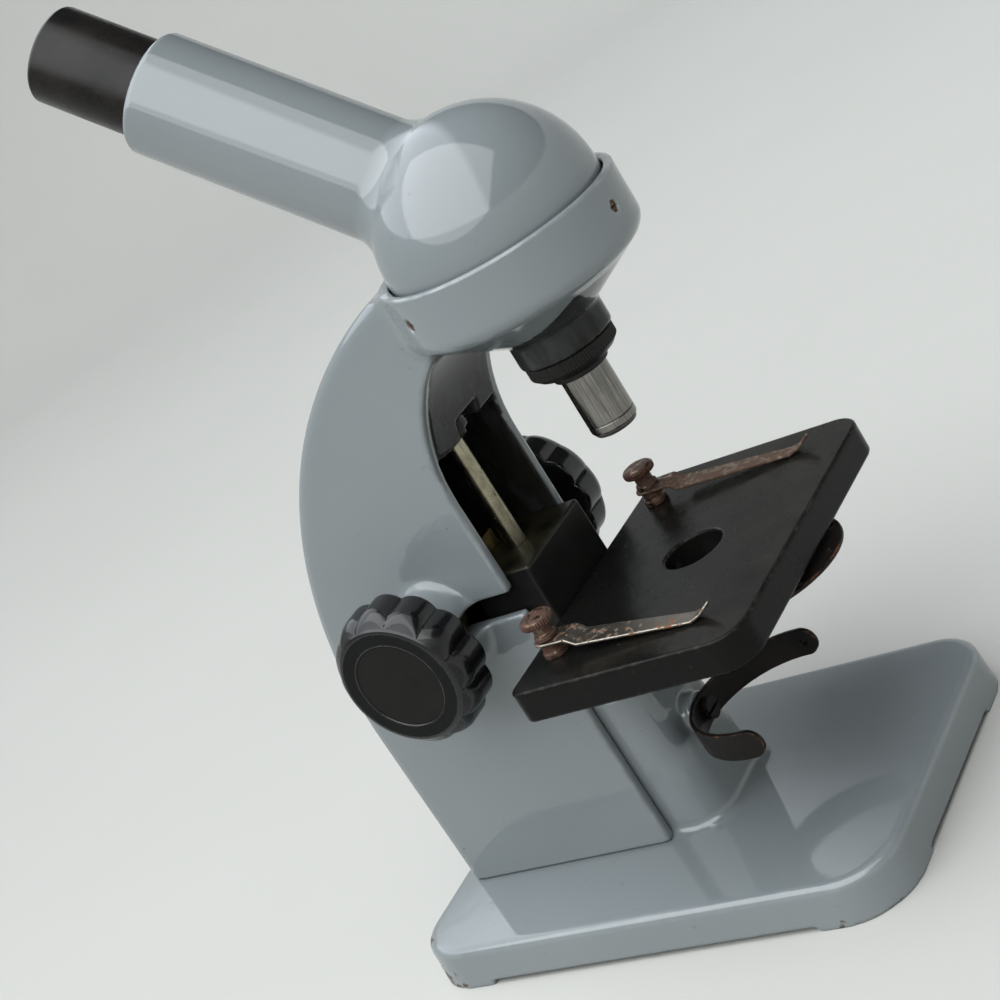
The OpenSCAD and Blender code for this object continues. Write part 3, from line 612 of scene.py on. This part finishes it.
class Look:
    """Procedural material built node by node around one Principled shader."""

    def __init__(self, name, **constants):
        """constants are inputs of the shader that stay the same all over."""
        self.material = bpy.data.materials.new(name)
        self.material.use_nodes = True
        self.tree = self.material.node_tree
        self.shader = self.tree.nodes["Principled BSDF"]
        self.place = self.node("ShaderNodeTexCoord").outputs["Object"]
        for socket, value in constants.items():
            self.shader.inputs[socket.replace("_", " ")].default_value = value

    def node(self, kind, **settings):
        """New node of that kind, with its settings."""
        made = self.tree.nodes.new(kind)
        for setting, value in settings.items():
            setattr(made, setting, value)
        return made

    def feed(self, value, socket):
        """Links an output to a socket, or puts a constant on it."""
        if isinstance(value, bpy.types.NodeSocket):
            self.tree.links.new(value, socket)
        else:
            socket.default_value = value

    def noise(self, size, detail=3.0, roughness=0.55, stretch=(1, 1, 1), shift=(0, 0, 0)):
        """Noise with patches about that many millimetres across. stretch makes them longer along an axis."""
        place = self.place
        if stretch != (1, 1, 1) or shift != (0, 0, 0):
            mapping = self.node("ShaderNodeMapping")
            self.feed(place, mapping.inputs["Vector"])
            mapping.inputs["Scale"].default_value = [1 / s for s in stretch]
            mapping.inputs["Location"].default_value = shift
            place = mapping.outputs["Vector"]
        made = self.node("ShaderNodeTexNoise")
        self.feed(place, made.inputs["Vector"])
        made.inputs["Scale"].default_value = 1 / (size * MM)
        made.inputs["Detail"].default_value = detail
        made.inputs["Roughness"].default_value = roughness
        return made.outputs["Fac"]

    def step(self, value, low, high, to_low=0.0, to_high=1.0):
        """Value mapped from low..high to to_low..to_high and held there."""
        made = self.node("ShaderNodeMapRange")
        self.feed(value, made.inputs["Value"])
        made.inputs["From Min"].default_value = low
        made.inputs["From Max"].default_value = high
        made.inputs["To Min"].default_value = to_low
        made.inputs["To Max"].default_value = to_high
        return made.outputs["Result"]

    def calc(self, operation, a, b):
        """Result of a Math node."""
        made = self.node("ShaderNodeMath", operation=operation)
        self.feed(a, made.inputs[0])
        self.feed(b, made.inputs[1])
        return made.outputs[0]

    def blend(self, factor, first, second):
        """Colour between two colours."""
        made = self.node("ShaderNodeMix", data_type="RGBA")
        self.feed(factor, made.inputs[0])
        for socket, value in ((made.inputs[6], first), (made.inputs[7], second)):
            self.feed(value if isinstance(value, bpy.types.NodeSocket) else (*value, 1), socket)
        return made.outputs[2]

    def near(self, point, radius):
        """1 at a place given in millimetres, falling to 0 at that radius from it."""
        made = self.node("ShaderNodeVectorMath", operation="DISTANCE")
        self.feed(self.place, made.inputs[0])
        made.inputs[1].default_value = [v * MM for v in point]
        return self.step(made.outputs["Value"], 0, radius * MM, 1, 0)

    def kept(self, name):
        """Number kept on the mesh: "edge" is above 0 on outer edges and below 0 in creases."""
        return self.node("ShaderNodeAttribute", attribute_name=name).outputs["Fac"]

    def upward(self):
        """How far the surface faces up."""
        direction = self.node("ShaderNodeSeparateXYZ")
        self.feed(self.node("ShaderNodeTexCoord").outputs["Normal"], direction.inputs[0])
        return direction.outputs["Z"]

    def bump(self, height, depth, strength=1.0):
        """Bump of that depth in millimetres, added to what is there."""
        made = self.node("ShaderNodeBump")
        made.inputs["Strength"].default_value = strength
        made.inputs["Distance"].default_value = depth * MM
        self.feed(height, made.inputs["Height"])
        present = self.shader.inputs["Normal"]
        if present.links:
            self.feed(present.links[0].from_socket, made.inputs["Normal"])
        self.feed(made.outputs["Normal"], present)

    def finish(self, colour, roughness):
        """Puts colour and roughness on the shader and returns the material."""
        self.feed(colour, self.shader.inputs["Base Color"])
        self.feed(roughness, self.shader.inputs["Roughness"])
        return self.material


def enamel(name, chips, has_channel_shade=False):
    """Grey gloss enamel over iron.

    chips lists (point, radius, how much) where paint is knocked off. The arm's flag darkens its channel with
    painted shade.
    """
    grey, lighter_grey = (0.150, 0.169, 0.176), (0.164, 0.183, 0.189)
    rubbed_grey = (0.30, 0.32, 0.32)
    crease_colour = (0.11, 0.11, 0.095)
    # Near black of the painted shade in the arm's channel
    channel_shade_colour = (0.012, 0.012, 0.010)
    iron, rust = (0.022, 0.018, 0.015), (0.085, 0.05, 0.032)
    look = Look(name, Specular_IOR_Level=0.65)
    colour = look.blend(look.step(look.noise(70, 3), 0.3, 0.7), grey, lighter_grey)
    edge = look.kept("edge")
    rubbed = look.calc("MULTIPLY", look.step(edge, 0.25, 0.9), look.step(look.noise(5, 4), 0.4, 0.62))
    colour = look.blend(look.calc("MULTIPLY", rubbed, 0.3), colour, rubbed_grey)
    # Patches darker and browner in the creases
    crease_darkening = look.step(look.noise(4, 4), 0.35, 0.7, 0.2, 0.8)
    crease_darkening = look.calc("MULTIPLY", look.step(edge, -0.15, -0.7), crease_darkening)
    colour = look.blend(look.calc("MULTIPLY", crease_darkening, 0.6), colour, crease_colour)
    # Painted shade: the channel walls and web, which lie in shade, are blended towards near black in streaks, and
    # reflect less
    if has_channel_shade:
        inside = look.kept("inside")
        shade_and_scratches = look.step(look.noise(5, 5, 0.65, (1, 1, 3)), 0.35, 0.75, 1.05, 0.86)
        colour = look.blend(look.calc("MULTIPLY", inside, shade_and_scratches), colour, channel_shade_colour)
        look.feed(look.step(inside, 0, 1, 0.6, 0.1), look.shader.inputs["Specular IOR Level"])
    # Where the paint is gone: a few specks everywhere, and ragged patches at the chips
    bare = look.step(look.noise(1.6, 2, 0.6), 0.745, 0.76)
    bare = look.calc("MULTIPLY", bare, look.step(look.noise(28, 2), 0.52, 0.58))
    for point, radius, amount in chips:
        ragged = look.step(look.noise(2.6, 5, 0.62), 0.3, 0.7, -0.6, 0.6)
        ragged = look.calc("ADD", look.near(point, radius), ragged)
        bare = look.calc("MAXIMUM", bare, look.step(ragged, 1.08 - amount, 1.16 - amount))
    colour = look.blend(bare, colour, look.blend(look.noise(1.5, 4), iron, rust))
    roughness = look.step(look.noise(25, 4), 0.3, 0.7, 0.05, 0.10)
    roughness = look.calc("ADD", roughness, look.calc("MULTIPLY", bare, 0.4))
    look.bump(look.noise(3.2, 2), 0.02, 0.4)
    look.bump(look.noise(30, 2), 0.2, 0.3)
    look.bump(look.calc("SUBTRACT", 1.0, bare), 0.12, 0.8)
    return look.finish(colour, roughness)


DUST = (0.085, 0.075, 0.06)


def black_paint(name, dark, worn, roughness, dust, edge_wear, dust_colour=DUST, gloss=0.5, clean=None,
                lies_on_top=False):
    """Black paint with a dusty film, rubbed through to worn along its edges.

    clean is a (point, radius) without dust. lies_on_top keeps the dust to surfaces that face up.
    """
    look = Look(name, Specular_IOR_Level=gloss)
    film = look.calc("MULTIPLY", look.step(look.noise(16, 5, 0.6), 0.35, 0.7), dust)
    if clean:
        film = look.calc("MULTIPLY", film, look.step(look.near(*clean), 0.5, 0.1))
    if lies_on_top:
        film = look.calc("MULTIPLY", film, look.step(look.upward(), 0.5, 0.9))
    colour = look.blend(film, dark, dust_colour)
    rubbed = look.step(look.noise(3, 5, 0.65), 0.5, 0.68)
    rubbed = look.calc("MULTIPLY", look.step(look.kept("edge"), 0.8, 1.6), rubbed)
    colour = look.blend(look.calc("MULTIPLY", rubbed, edge_wear), colour, worn)
    specks = look.step(look.noise(1.2, 3, 0.6), 0.70, 0.74)
    colour = look.blend(look.calc("MULTIPLY", specks, 0.3), colour, worn)
    look.bump(look.noise(0.8, 3), 0.015, 0.4)
    look.bump(look.noise(25, 2), 0.05, 0.3)
    rough = look.step(look.noise(7, 5), 0.3, 0.7, roughness - 0.06, roughness + 0.1)
    return look.finish(colour, rough)


def steel(name, bright, stain, rust, rust_amount, roughness, streak=(1, 1, 1), stain_amount=0.6,
          streak_amount=0.25):
    """Bare steel with stains and patches of rust. streak is how many times longer its grain is each way."""
    look = Look(name)
    patch = look.step(look.noise(6, 5, 0.6), 0.38, 0.66)
    colour = look.blend(look.calc("MULTIPLY", patch, stain_amount), bright, stain)
    grain = look.noise(0.5, 3, 0.6, streak)
    # Dark streaks along the grain. Where they are strong, as on the objective's barrel, they are painted
    # reflections of the surroundings over a fine grain
    colour = look.blend(look.step(grain, 0.3, 0.7, streak_amount, 0), colour, stain)
    level = 0.72 - 0.42 * rust_amount
    rusty = look.step(look.noise(2.4, 6, 0.65, shift=(0.03, 0.01, 0.02)), level, level + 0.07)
    tone = look.blend(look.noise(1.1, 4), rust, [0.45 * v for v in rust])
    colour = look.blend(rusty, colour, tone)
    look.feed(look.calc("SUBTRACT", 1.0, rusty), look.shader.inputs["Metallic"])
    look.bump(grain, 0.015, 0.5)
    look.bump(look.calc("MULTIPLY", rusty, look.noise(0.6, 4)), 0.12, 0.8)
    rough = look.step(grain, 0.3, 0.7, roughness - 0.06, roughness + 0.08)
    rough = look.calc("ADD", rough, look.calc("MULTIPLY", rusty, 0.4))
    return look.finish(colour, rough)


def bakelite():
    """Polished black plastic: glossy grip, satin face, a little dirt in the valleys."""
    look = Look("bakelite")
    edge = look.kept("edge")
    curved = look.step(edge, 0.015, 0.05)
    look.feed(look.step(curved, 0, 1, 0.1, 0.45), look.shader.inputs["Specular IOR Level"])
    scuff = look.step(look.noise(10, 6, 0.7), 0.5, 0.75, 0, 0.5)
    colour = look.blend(scuff, (0.004, 0.004, 0.0045), (0.009, 0.009, 0.008))
    dirt = look.calc("MULTIPLY", look.step(edge, -0.2, -0.9), look.step(look.noise(3, 4), 0.4, 0.65))
    colour = look.blend(look.calc("MULTIPLY", dirt, 0.6), colour, (0.04, 0.034, 0.026))
    look.bump(look.noise(6, 3), 0.03, 0.3)
    look.bump(look.noise(0.7, 3), 0.006, 0.4)
    rough = look.step(curved, 0, 1, 0.42, 0.13)
    rough = look.calc("ADD", rough, look.step(look.noise(5, 5, 0.65), 0.35, 0.7, 0, 0.12))
    return look.finish(colour, rough)


def glass():
    """Lens glass with faint smears."""
    look = Look("lens_glass", Transmission_Weight=1.0, IOR=1.52)
    colour = look.blend(look.noise(8, 3), (0.93, 0.97, 0.96), (0.88, 0.93, 0.95))
    rough = look.step(look.noise(4, 4), 0.4, 0.75, 0.01, 0.08)
    look.bump(look.noise(3, 2), 0.002, 0.2)
    return look.finish(colour, rough)


def brass(name, tone):
    """Dull turned brass with dark oily patches."""
    look = Look(name, Metallic=1.0)
    colour = look.blend(look.step(look.noise(5, 5), 0.35, 0.7), tone, [0.35 * v for v in tone])
    look.bump(look.noise(0.7, 3), 0.02, 0.5)
    return look.finish(colour, look.step(look.noise(3, 4), 0.3, 0.7, 0.3, 0.5))


# Where paint is knocked off: (point in millimetres, radius, how much)
BASE_CHIPS = [((-base_half_w + 9, base_high[1] - 2.5, base_top - 3), 8, 0.5),
              ((-base_half_w + 4, base_high[1] - 10, 0.5), 9, 0.5),
              ((-base_half_w, base_low[1] + 20, 0), 6, 0.3),
              ((-base_half_w + 8, base_low[1] + 5, -1), 7, 0.15),
              ((0, base_low[1], 1), 7, 0.2),
              ((base_half_w - 4, base_low[1] + 6, 2), 10, 0.25),
              ((-base_half_w, base_mid_y + 20, 1), 6, 0.2)]
ARM_CHIPS = [((-5, arm_front_y - 1.5, web_z + 2.5), 4.5, 0.35),
             ((-14, arm_front_y - 1, web_z + 1), 3, 0.15),
             ((-arm_half, arm_front_y, web_z + 3), 5, 0.12),
             ((-arm_half, shaft_y - 5, shaft_z - 4.5), 5, 0.12)]
ARM_CHIPS += [((cup_r * math.cos(a), axis_y + cup_r * math.sin(a), grub_z), 3.6, 0.25) for a in grub_angles]
DOME_CHIPS = [((-10, axis_y + 28, rim_z + 35), 4, 0.1)]

# Materials by material slot, and by node where a piece has its own
MATERIALS = {
    "base": enamel("grey_enamel_base", BASE_CHIPS),
    # The arm's channel and web get painted shade
    "arm": enamel("grey_enamel_arm", ARM_CHIPS, has_channel_shade=True),
    "dome": enamel("grey_enamel_dome", DOME_CHIPS),
    "black_metal": black_paint(
        "black_metal", dark=(0.005, 0.005, 0.005), worn=(0.16, 0.14, 0.12),
        roughness=0.34, dust=0.12, edge_wear=0.5, gloss=0.22),
    "worn_black": black_paint(
        "worn_black", dark=(0.005, 0.0045, 0.004), worn=(0.13, 0.055, 0.026),
        dust_colour=(0.018, 0.011, 0.008), roughness=0.38, dust=0.4, edge_wear=0.9, gloss=0.15),
    "carriage_black": black_paint(
        "carriage_black", dark=(0.004, 0.004, 0.0035), worn=(0.08, 0.07, 0.045),
        dust_colour=(0.042, 0.037, 0.02), roughness=0.34, dust=0.9, edge_wear=0.5, gloss=0.25,
        lies_on_top=True),
    "stage_black": black_paint(
        "stage_black", dark=(0.0055, 0.0055, 0.005), worn=(0.13, 0.11, 0.085),
        dust_colour=(0.018, 0.0155, 0.012), roughness=0.22, dust=0.75, edge_wear=0.3, gloss=0.08,
        clean=((-14, stage_high[1] - 8, 92), 62), lies_on_top=True),
    "cap_plastic": black_paint(
        "cap_plastic", dark=(0.006, 0.006, 0.005), worn=(0.03, 0.03, 0.026),
        dust_colour=(0.010, 0.010, 0.008), roughness=0.5, dust=0.5, edge_wear=0.2, gloss=0.12),
    "eyepiece_black": black_paint(
        "eyepiece_black", dark=(0.005, 0.0045, 0.0045), worn=(0.12, 0.11, 0.10),
        roughness=0.26, dust=0.1, edge_wear=0.6, gloss=0.2),
    "bakelite": bakelite(),
    "dark_steel": steel(
        "dark_steel", bright=(0.25, 0.24, 0.22), stain=(0.07, 0.06, 0.05), rust=(0.16, 0.065, 0.025),
        rust_amount=0.25, roughness=0.42),
    "rod_steel": steel(
        "rod_steel", bright=(0.40, 0.37, 0.27), stain=(0.11, 0.095, 0.055), rust=(0.10, 0.07, 0.035),
        rust_amount=0.2, roughness=0.3, streak=(1, 1, 8)),
    "rusty_steel": steel(
        "rusty_steel", bright=(0.17, 0.12, 0.09), stain=(0.07, 0.038, 0.024), rust=(0.075, 0.028, 0.014),
        rust_amount=0.65, roughness=0.32),
    # Its strong dark streaks along its length are painted reflections of the surroundings, over a fine grain
    "bright_barrel": steel(
        "bright_barrel", bright=(0.30, 0.29, 0.27), stain=(0.06, 0.055, 0.05), rust=(0.12, 0.10, 0.08),
        rust_amount=0.05, roughness=0.2, streak=(1, 1, 25), stain_amount=0.3, streak_amount=0.7),
    "clip_steel": steel(
        "clip_steel", bright=(0.34, 0.315, 0.275), stain=(0.15, 0.115, 0.085), rust=(0.18, 0.07, 0.026),
        rust_amount=0.42, roughness=0.34, streak=(1, 8, 1), stain_amount=0.35),
    "right_clip": steel(
        "far_clip_steel", bright=(0.24, 0.19, 0.145), stain=(0.11, 0.07, 0.045), rust=(0.085, 0.041, 0.021),
        rust_amount=0.70, roughness=0.4, streak=(1, 8, 1)),
    "bearing_brass": brass("bearing_brass", (0.55, 0.42, 0.2)),
    "rack_brass": brass("rack_brass", (0.3, 0.22, 0.09)),
    "lens_glass": glass(),
}


# ---------- pieces ----------

slot_of = {row["node"]: row["material_slot"] for row in frame["record"]["subparts"]}
body_of = {node: body for body, nodes in frame["record"]["behaviour"]["bodies"].items() for node in nodes}
replaced = set()


def dress(piece, node):
    """Gives a piece the material, body and slot of the CAD node it stands for.

    A node may have several pieces, but it is replaced once.
    """
    piece.data.materials.clear()
    piece.data.materials.append(MATERIALS.get(node) or MATERIALS[slot_of[node]])
    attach(piece, body_of[node])
    if node not in replaced:
        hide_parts(node)
        replaced.add(node)
    return piece


def sculpt(node, field, pitch):
    """Piece that stands for a CAD node, meshed from a field inside the node's box."""
    low, high = box_mm(node)
    return dress(new_object(node + "_look", *field_mesh(field, low, high, pitch)), node)


def turn(node, profile, centre, **options):
    """Piece that stands for a CAD node, lathed from a closed profile."""
    return dress(lathed(node + "_look", profile, centre, **options), node)


def build_castings():
    """Base, arm and dome. The arm keeps, for each of its points, how much painted shade it gets in the channel."""
    sculpt("base", base_field, 0.85)
    arm = sculpt("arm", arm_field, 0.8)
    points = np.array([v.co for v in arm.data.vertices]) / MM
    keep_values(arm, "inside", arm_channel_shade(*points.T))
    sculpt("dome", dome_field, 0.75)


def build_stage():
    """Stage, its carriage, the diaphragm and the clips."""
    sculpt("stage_plate", stage_field, 0.55)
    sculpt("carriage_block", carriage_field, 0.6)
    sculpt("diaphragm_disc", disc_field, 0.35)
    sculpt("left_clip", clip_field(-1), 0.28)
    sculpt("right_clip", clip_field(1), 0.28)


def build_knobs():
    """Both focusing knobs."""
    for node, side in (("left_knob", -1), ("right_knob", 1)):
        sculpt(node, knob_field(side), 0.42)


def knurls(number, depth, low, high):
    """Ripple for lathed() that cuts straight knurls between two heights."""
    flat_r = 3.0

    def ripple(radius, height, angle):
        """Radius less the knurls' valleys. Points closer to the axis than flat_r stay."""
        valley = 0.5 + 0.5 * np.cos(number * angle)
        zone = (height > low) & (height < high) & (radius > flat_r)
        return radius - np.where(zone, depth * valley, 0)

    return ripple


def build_objective():
    """Knurled ring, collar, barrel and tip of the objective."""
    centre = (0, axis_y, 0)
    bottom = ring_low[2]
    ring_r = ring_high[0]
    collar_r = collar_high[0]
    barrel_r = barrel_high[0]
    bore = 6.05
    barrel_bore = 4.8
    thread_r = 6.0
    tip_hole = 3.0
    ring_profile = [
        (bore, bottom), (collar_r, bottom), (collar_r + 3.2, bottom + 0.9), (ring_r, bottom + 2.6),
        (ring_r, nose_z - 0.6), (ring_r - 1, nose_z), (bore, nose_z)]
    turn("knurled_ring", ring_profile, centre, edge_r=0.25, segments=960,
         ripple=knurls(96, 0.32, bottom + 2.5, nose_z - 0.5))
    z0, z1 = collar_low[2], collar_high[2]
    turn("objective_collar", [(bore, z0), (collar_r, z0), (collar_r, z1), (bore, z1)], centre, edge_r=0.5)
    z0, z1 = barrel_low[2], barrel_high[2]
    shoulder = collar_low[2]
    groove_z = z0 + 2.2
    barrel_profile = [
        (barrel_bore, z0), (barrel_r - 0.2, z0), (barrel_r, z0 + 0.5), (barrel_r, groove_z),
        (barrel_r - 0.3, groove_z + 0.2), (barrel_r, groove_z + 0.4), (barrel_r, shoulder),
        (thread_r, shoulder), (thread_r, z1), (barrel_bore, z1)]
    turn("objective_barrel", barrel_profile, centre, edge_r=0.25)
    neck_r = barrel_bore - 0.05
    z0, z1 = tip_low[2], tip_high[2]
    tip_profile = [
        (tip_hole, z0), (barrel_r - 0.9, z0), (barrel_r - 0.3, barrel_low[2]), (neck_r, barrel_low[2]),
        (neck_r, z1), (tip_hole, z1)]
    turn("objective_tip", tip_profile, centre, edge_r=0.2)


def build_eyepiece():
    """Eyepiece: a black shell over the sleeve that goes into the tube, and its cap with the eye opening."""
    centre = (0, axis_y, dome_z)
    sleeve_r, bore = 11.6, 10.2
    sleeve_start = tube_end - 28
    start = tube_end + 0.05
    seat = eyepiece_end - 6
    lip_r = shell_r - 1.1
    shell = [
        (bore, sleeve_start), (sleeve_r, sleeve_start), (sleeve_r, start), (shell_r - 0.35, start),
        (shell_r, tube_end + 0.5), (shell_r, eyepiece_end - 0.9), (shell_r - 0.8, eyepiece_end),
        (lip_r, eyepiece_end), (lip_r, seat), (bore, seat)]
    turn("eyepiece_tube", shell, centre, axis=tube_axis, edge_r=0.35, segments=192)
    top = eyepiece_end - 0.4
    cap_r = shell_r - 1.3
    opening_r = 7.0
    cap = [(opening_r, seat), (cap_r, seat), (cap_r, top), (10.6, top), (opening_r, top - 3)]
    turn("eyepiece_cap", cap, centre, axis=tube_axis, edge_r=0.3)


def build_rod():
    """Guide rod."""
    z0, z1 = rod_low[2], rod_high[2]
    profile = [(0, z0), (rod_r, z0), (rod_r, z1 - 0.6), (rod_r - 0.6, z1), (0, z1)]
    turn("guide_rod", profile, (0, rod_y, 0), edge_r=0.2, segments=96)


def build_clip_heads():
    """Knurled screws of the clips, and the collars under the clips."""
    top = clip_screw_top
    stage_top = stage_high[2]
    neck_top = top - 2.9
    clip_top = stage_top + 5.7
    thread_end = stage_top - 7.5
    shank_start = stage_top + 0.1
    for side in (-1, 1):
        centre = (side * clip_x, clip_y, 0)
        screw = [
            (0, thread_end), (1.5, thread_end), (1.5, shank_start), (1.95, shank_start), (1.95, clip_top),
            (3.4, clip_top), (3.4, clip_top + 1.3), (2.7, clip_top + 1.7), (2.7, neck_top),
            (4.7, neck_top + 0.1), (5, neck_top + 0.6), (5, top - 1.1), (4.2, top - 0.35), (2.2, top),
            (0, top)]
        turn("clip_screws", screw, centre, edge_r=0.3, segments=288,
             ripple=knurls(36, 0.3, neck_top + 0.25, top - 0.9))
        collar_start = stage_top + 0.02
        collar = [
            (2.0, collar_start), (3.6, collar_start), (3.6, stage_top + 1.7), (3.1, stage_top + 2.1),
            (3.1, clip_collar_top), (2.0, clip_collar_top)]
        turn("clip_collars", collar, centre, edge_r=0.25)


def build_fork():
    """Fork of the mirror."""
    sculpt("mirror_fork", fork_field, 0.38)


def dress_the_rest():
    """Procedural materials for the CAD nodes that are shown as they are."""
    for node, cad in frame["nodes"].items():
        if node in replaced:
            continue
        cad.data.materials.clear()
        cad.data.materials.append(MATERIALS[slot_of[node]])


# ---------- studio ----------

def camera_axes():
    """Right, up and backward directions of the camera."""
    azimuth, elevation, roll = [math.radians(a) for a in (-50.5, 17.67, -32.75)]
    back = Vector((math.sin(azimuth) * math.cos(elevation), -math.cos(azimuth) * math.cos(elevation),
                   math.sin(elevation)))
    level = Vector((math.cos(azimuth), math.sin(azimuth), 0))
    upright = back.cross(level)
    right = level * math.cos(roll) + upright * math.sin(roll)
    up = upright * math.cos(roll) - level * math.sin(roll)
    return right, up, back


def facing(location, right, up, back):
    """Matrix of an object at a place, turned to look along minus back."""
    matrix = Matrix((right, up, back)).transposed().to_4x4()
    matrix.translation = location
    return matrix


def set_camera():
    """Camera at the photographed view, turned about the middle of the microscope's picture."""
    target = Vector((0, axis_y + 48.6, 124.2)) * MM
    distance = 0.6304
    right, up, back = camera_axes()
    data = bpy.data.cameras.new("camera")
    data.sensor_width = 36
    data.lens = 79.71
    data.dof.use_dof = False
    camera = bpy.data.objects.new("camera", data)
    camera.matrix_world = facing(target + back * distance, right, up, back)
    bpy.context.scene.collection.objects.link(camera)
    bpy.context.scene.camera = camera


def add_light(name, direction, distance, size, power):
    """Rectangular soft light that looks at the microscope's middle from a direction."""
    data = bpy.data.lights.new(name, "AREA")
    data.shape = "RECTANGLE"
    data.size, data.size_y = size
    data.energy = power
    light = bpy.data.objects.new(name, data)
    back = Vector(direction).normalized()
    middle = Vector((0, 0, 0.14))
    light.location = middle + back * distance
    light.rotation_euler = back.to_track_quat("Z", "Y").to_euler()
    bpy.context.scene.collection.objects.link(light)


def light_sky(tree):
    """Soft sky: bright on the left and eyepiece side, dim on the stage side.

    It changes from dim to bright just left of what the stage and the base mirror towards the camera.
    """
    background = tree.nodes["Background"]
    place = tree.nodes.new("ShaderNodeTexCoord")
    toward = tree.nodes.new("ShaderNodeVectorMath")
    toward.operation = "DOT_PRODUCT"
    toward.inputs[1].default_value = (-0.636, 0.771, 0.2)
    ramp = tree.nodes.new("ShaderNodeValToRGB")
    ramp.color_ramp.interpolation = "EASE"
    low, high = ramp.color_ramp.elements
    low.position, high.position = 0.0, 0.14
    low.color = (0.05, 0.051, 0.053, 1)
    high.color = (1.85, 1.97, 2.09, 1)
    tree.links.new(place.outputs["Generated"], toward.inputs[0])
    tree.links.new(toward.outputs["Value"], ramp.inputs["Fac"])
    tree.links.new(ramp.outputs["Color"], background.inputs["Color"])
    background.inputs["Strength"].default_value = 1.0


def build_studio():
    """Pale floor that curves up into a wall all round, under a sky and one large window."""
    floor_r, wall_h, curve_r = 1.4, 0.95, 0.55
    curve_steps = 12
    segments = 96
    below_feet = 0.02
    profile = [(0.0, 0.0), (floor_r, 0.0)]
    for i in range(1, curve_steps + 1):
        turn_by = math.radians(90 * i / curve_steps)
        profile.append((floor_r + curve_r * math.sin(turn_by), curve_r * (1 - math.cos(turn_by))))
    profile.append((floor_r + curve_r, wall_h))
    points, faces = [], []
    for r, h in profile:
        for j in range(segments):
            a = 2 * math.pi * j / segments
            points.append((r * math.cos(a) / MM, r * math.sin(a) / MM, h / MM - below_feet))
    for i in range(len(profile) - 1):
        for j in range(segments):
            k = (j + 1) % segments
            row, next_row = i * segments, (i + 1) * segments
            faces.append((row + j, row + k, next_row + k, next_row + j))
    floor = new_object("floor", points, faces)
    look = Look("floor_paper", Specular_IOR_Level=0.2)
    colour = look.blend(look.noise(180, 2), (0.405, 0.404, 0.382), (0.43, 0.429, 0.406))
    floor.data.materials.append(look.finish(colour, 0.7))

    world = bpy.data.worlds.new("studio")
    world.use_nodes = True
    light_sky(world.node_tree)
    bpy.context.scene.world = world
    right, up, back = camera_axes()
    add_light("window", -0.68 * right + 0.35 * up + 0.65 * back, 1.5, (2.7, 2.9), 50)
    bpy.context.scene.view_settings.view_transform = "Standard"


build_castings()
build_stage()
build_knobs()
build_objective()
build_eyepiece()
build_rod()
build_clip_heads()
build_fork()
dress_the_rest()
build_studio()
set_camera()
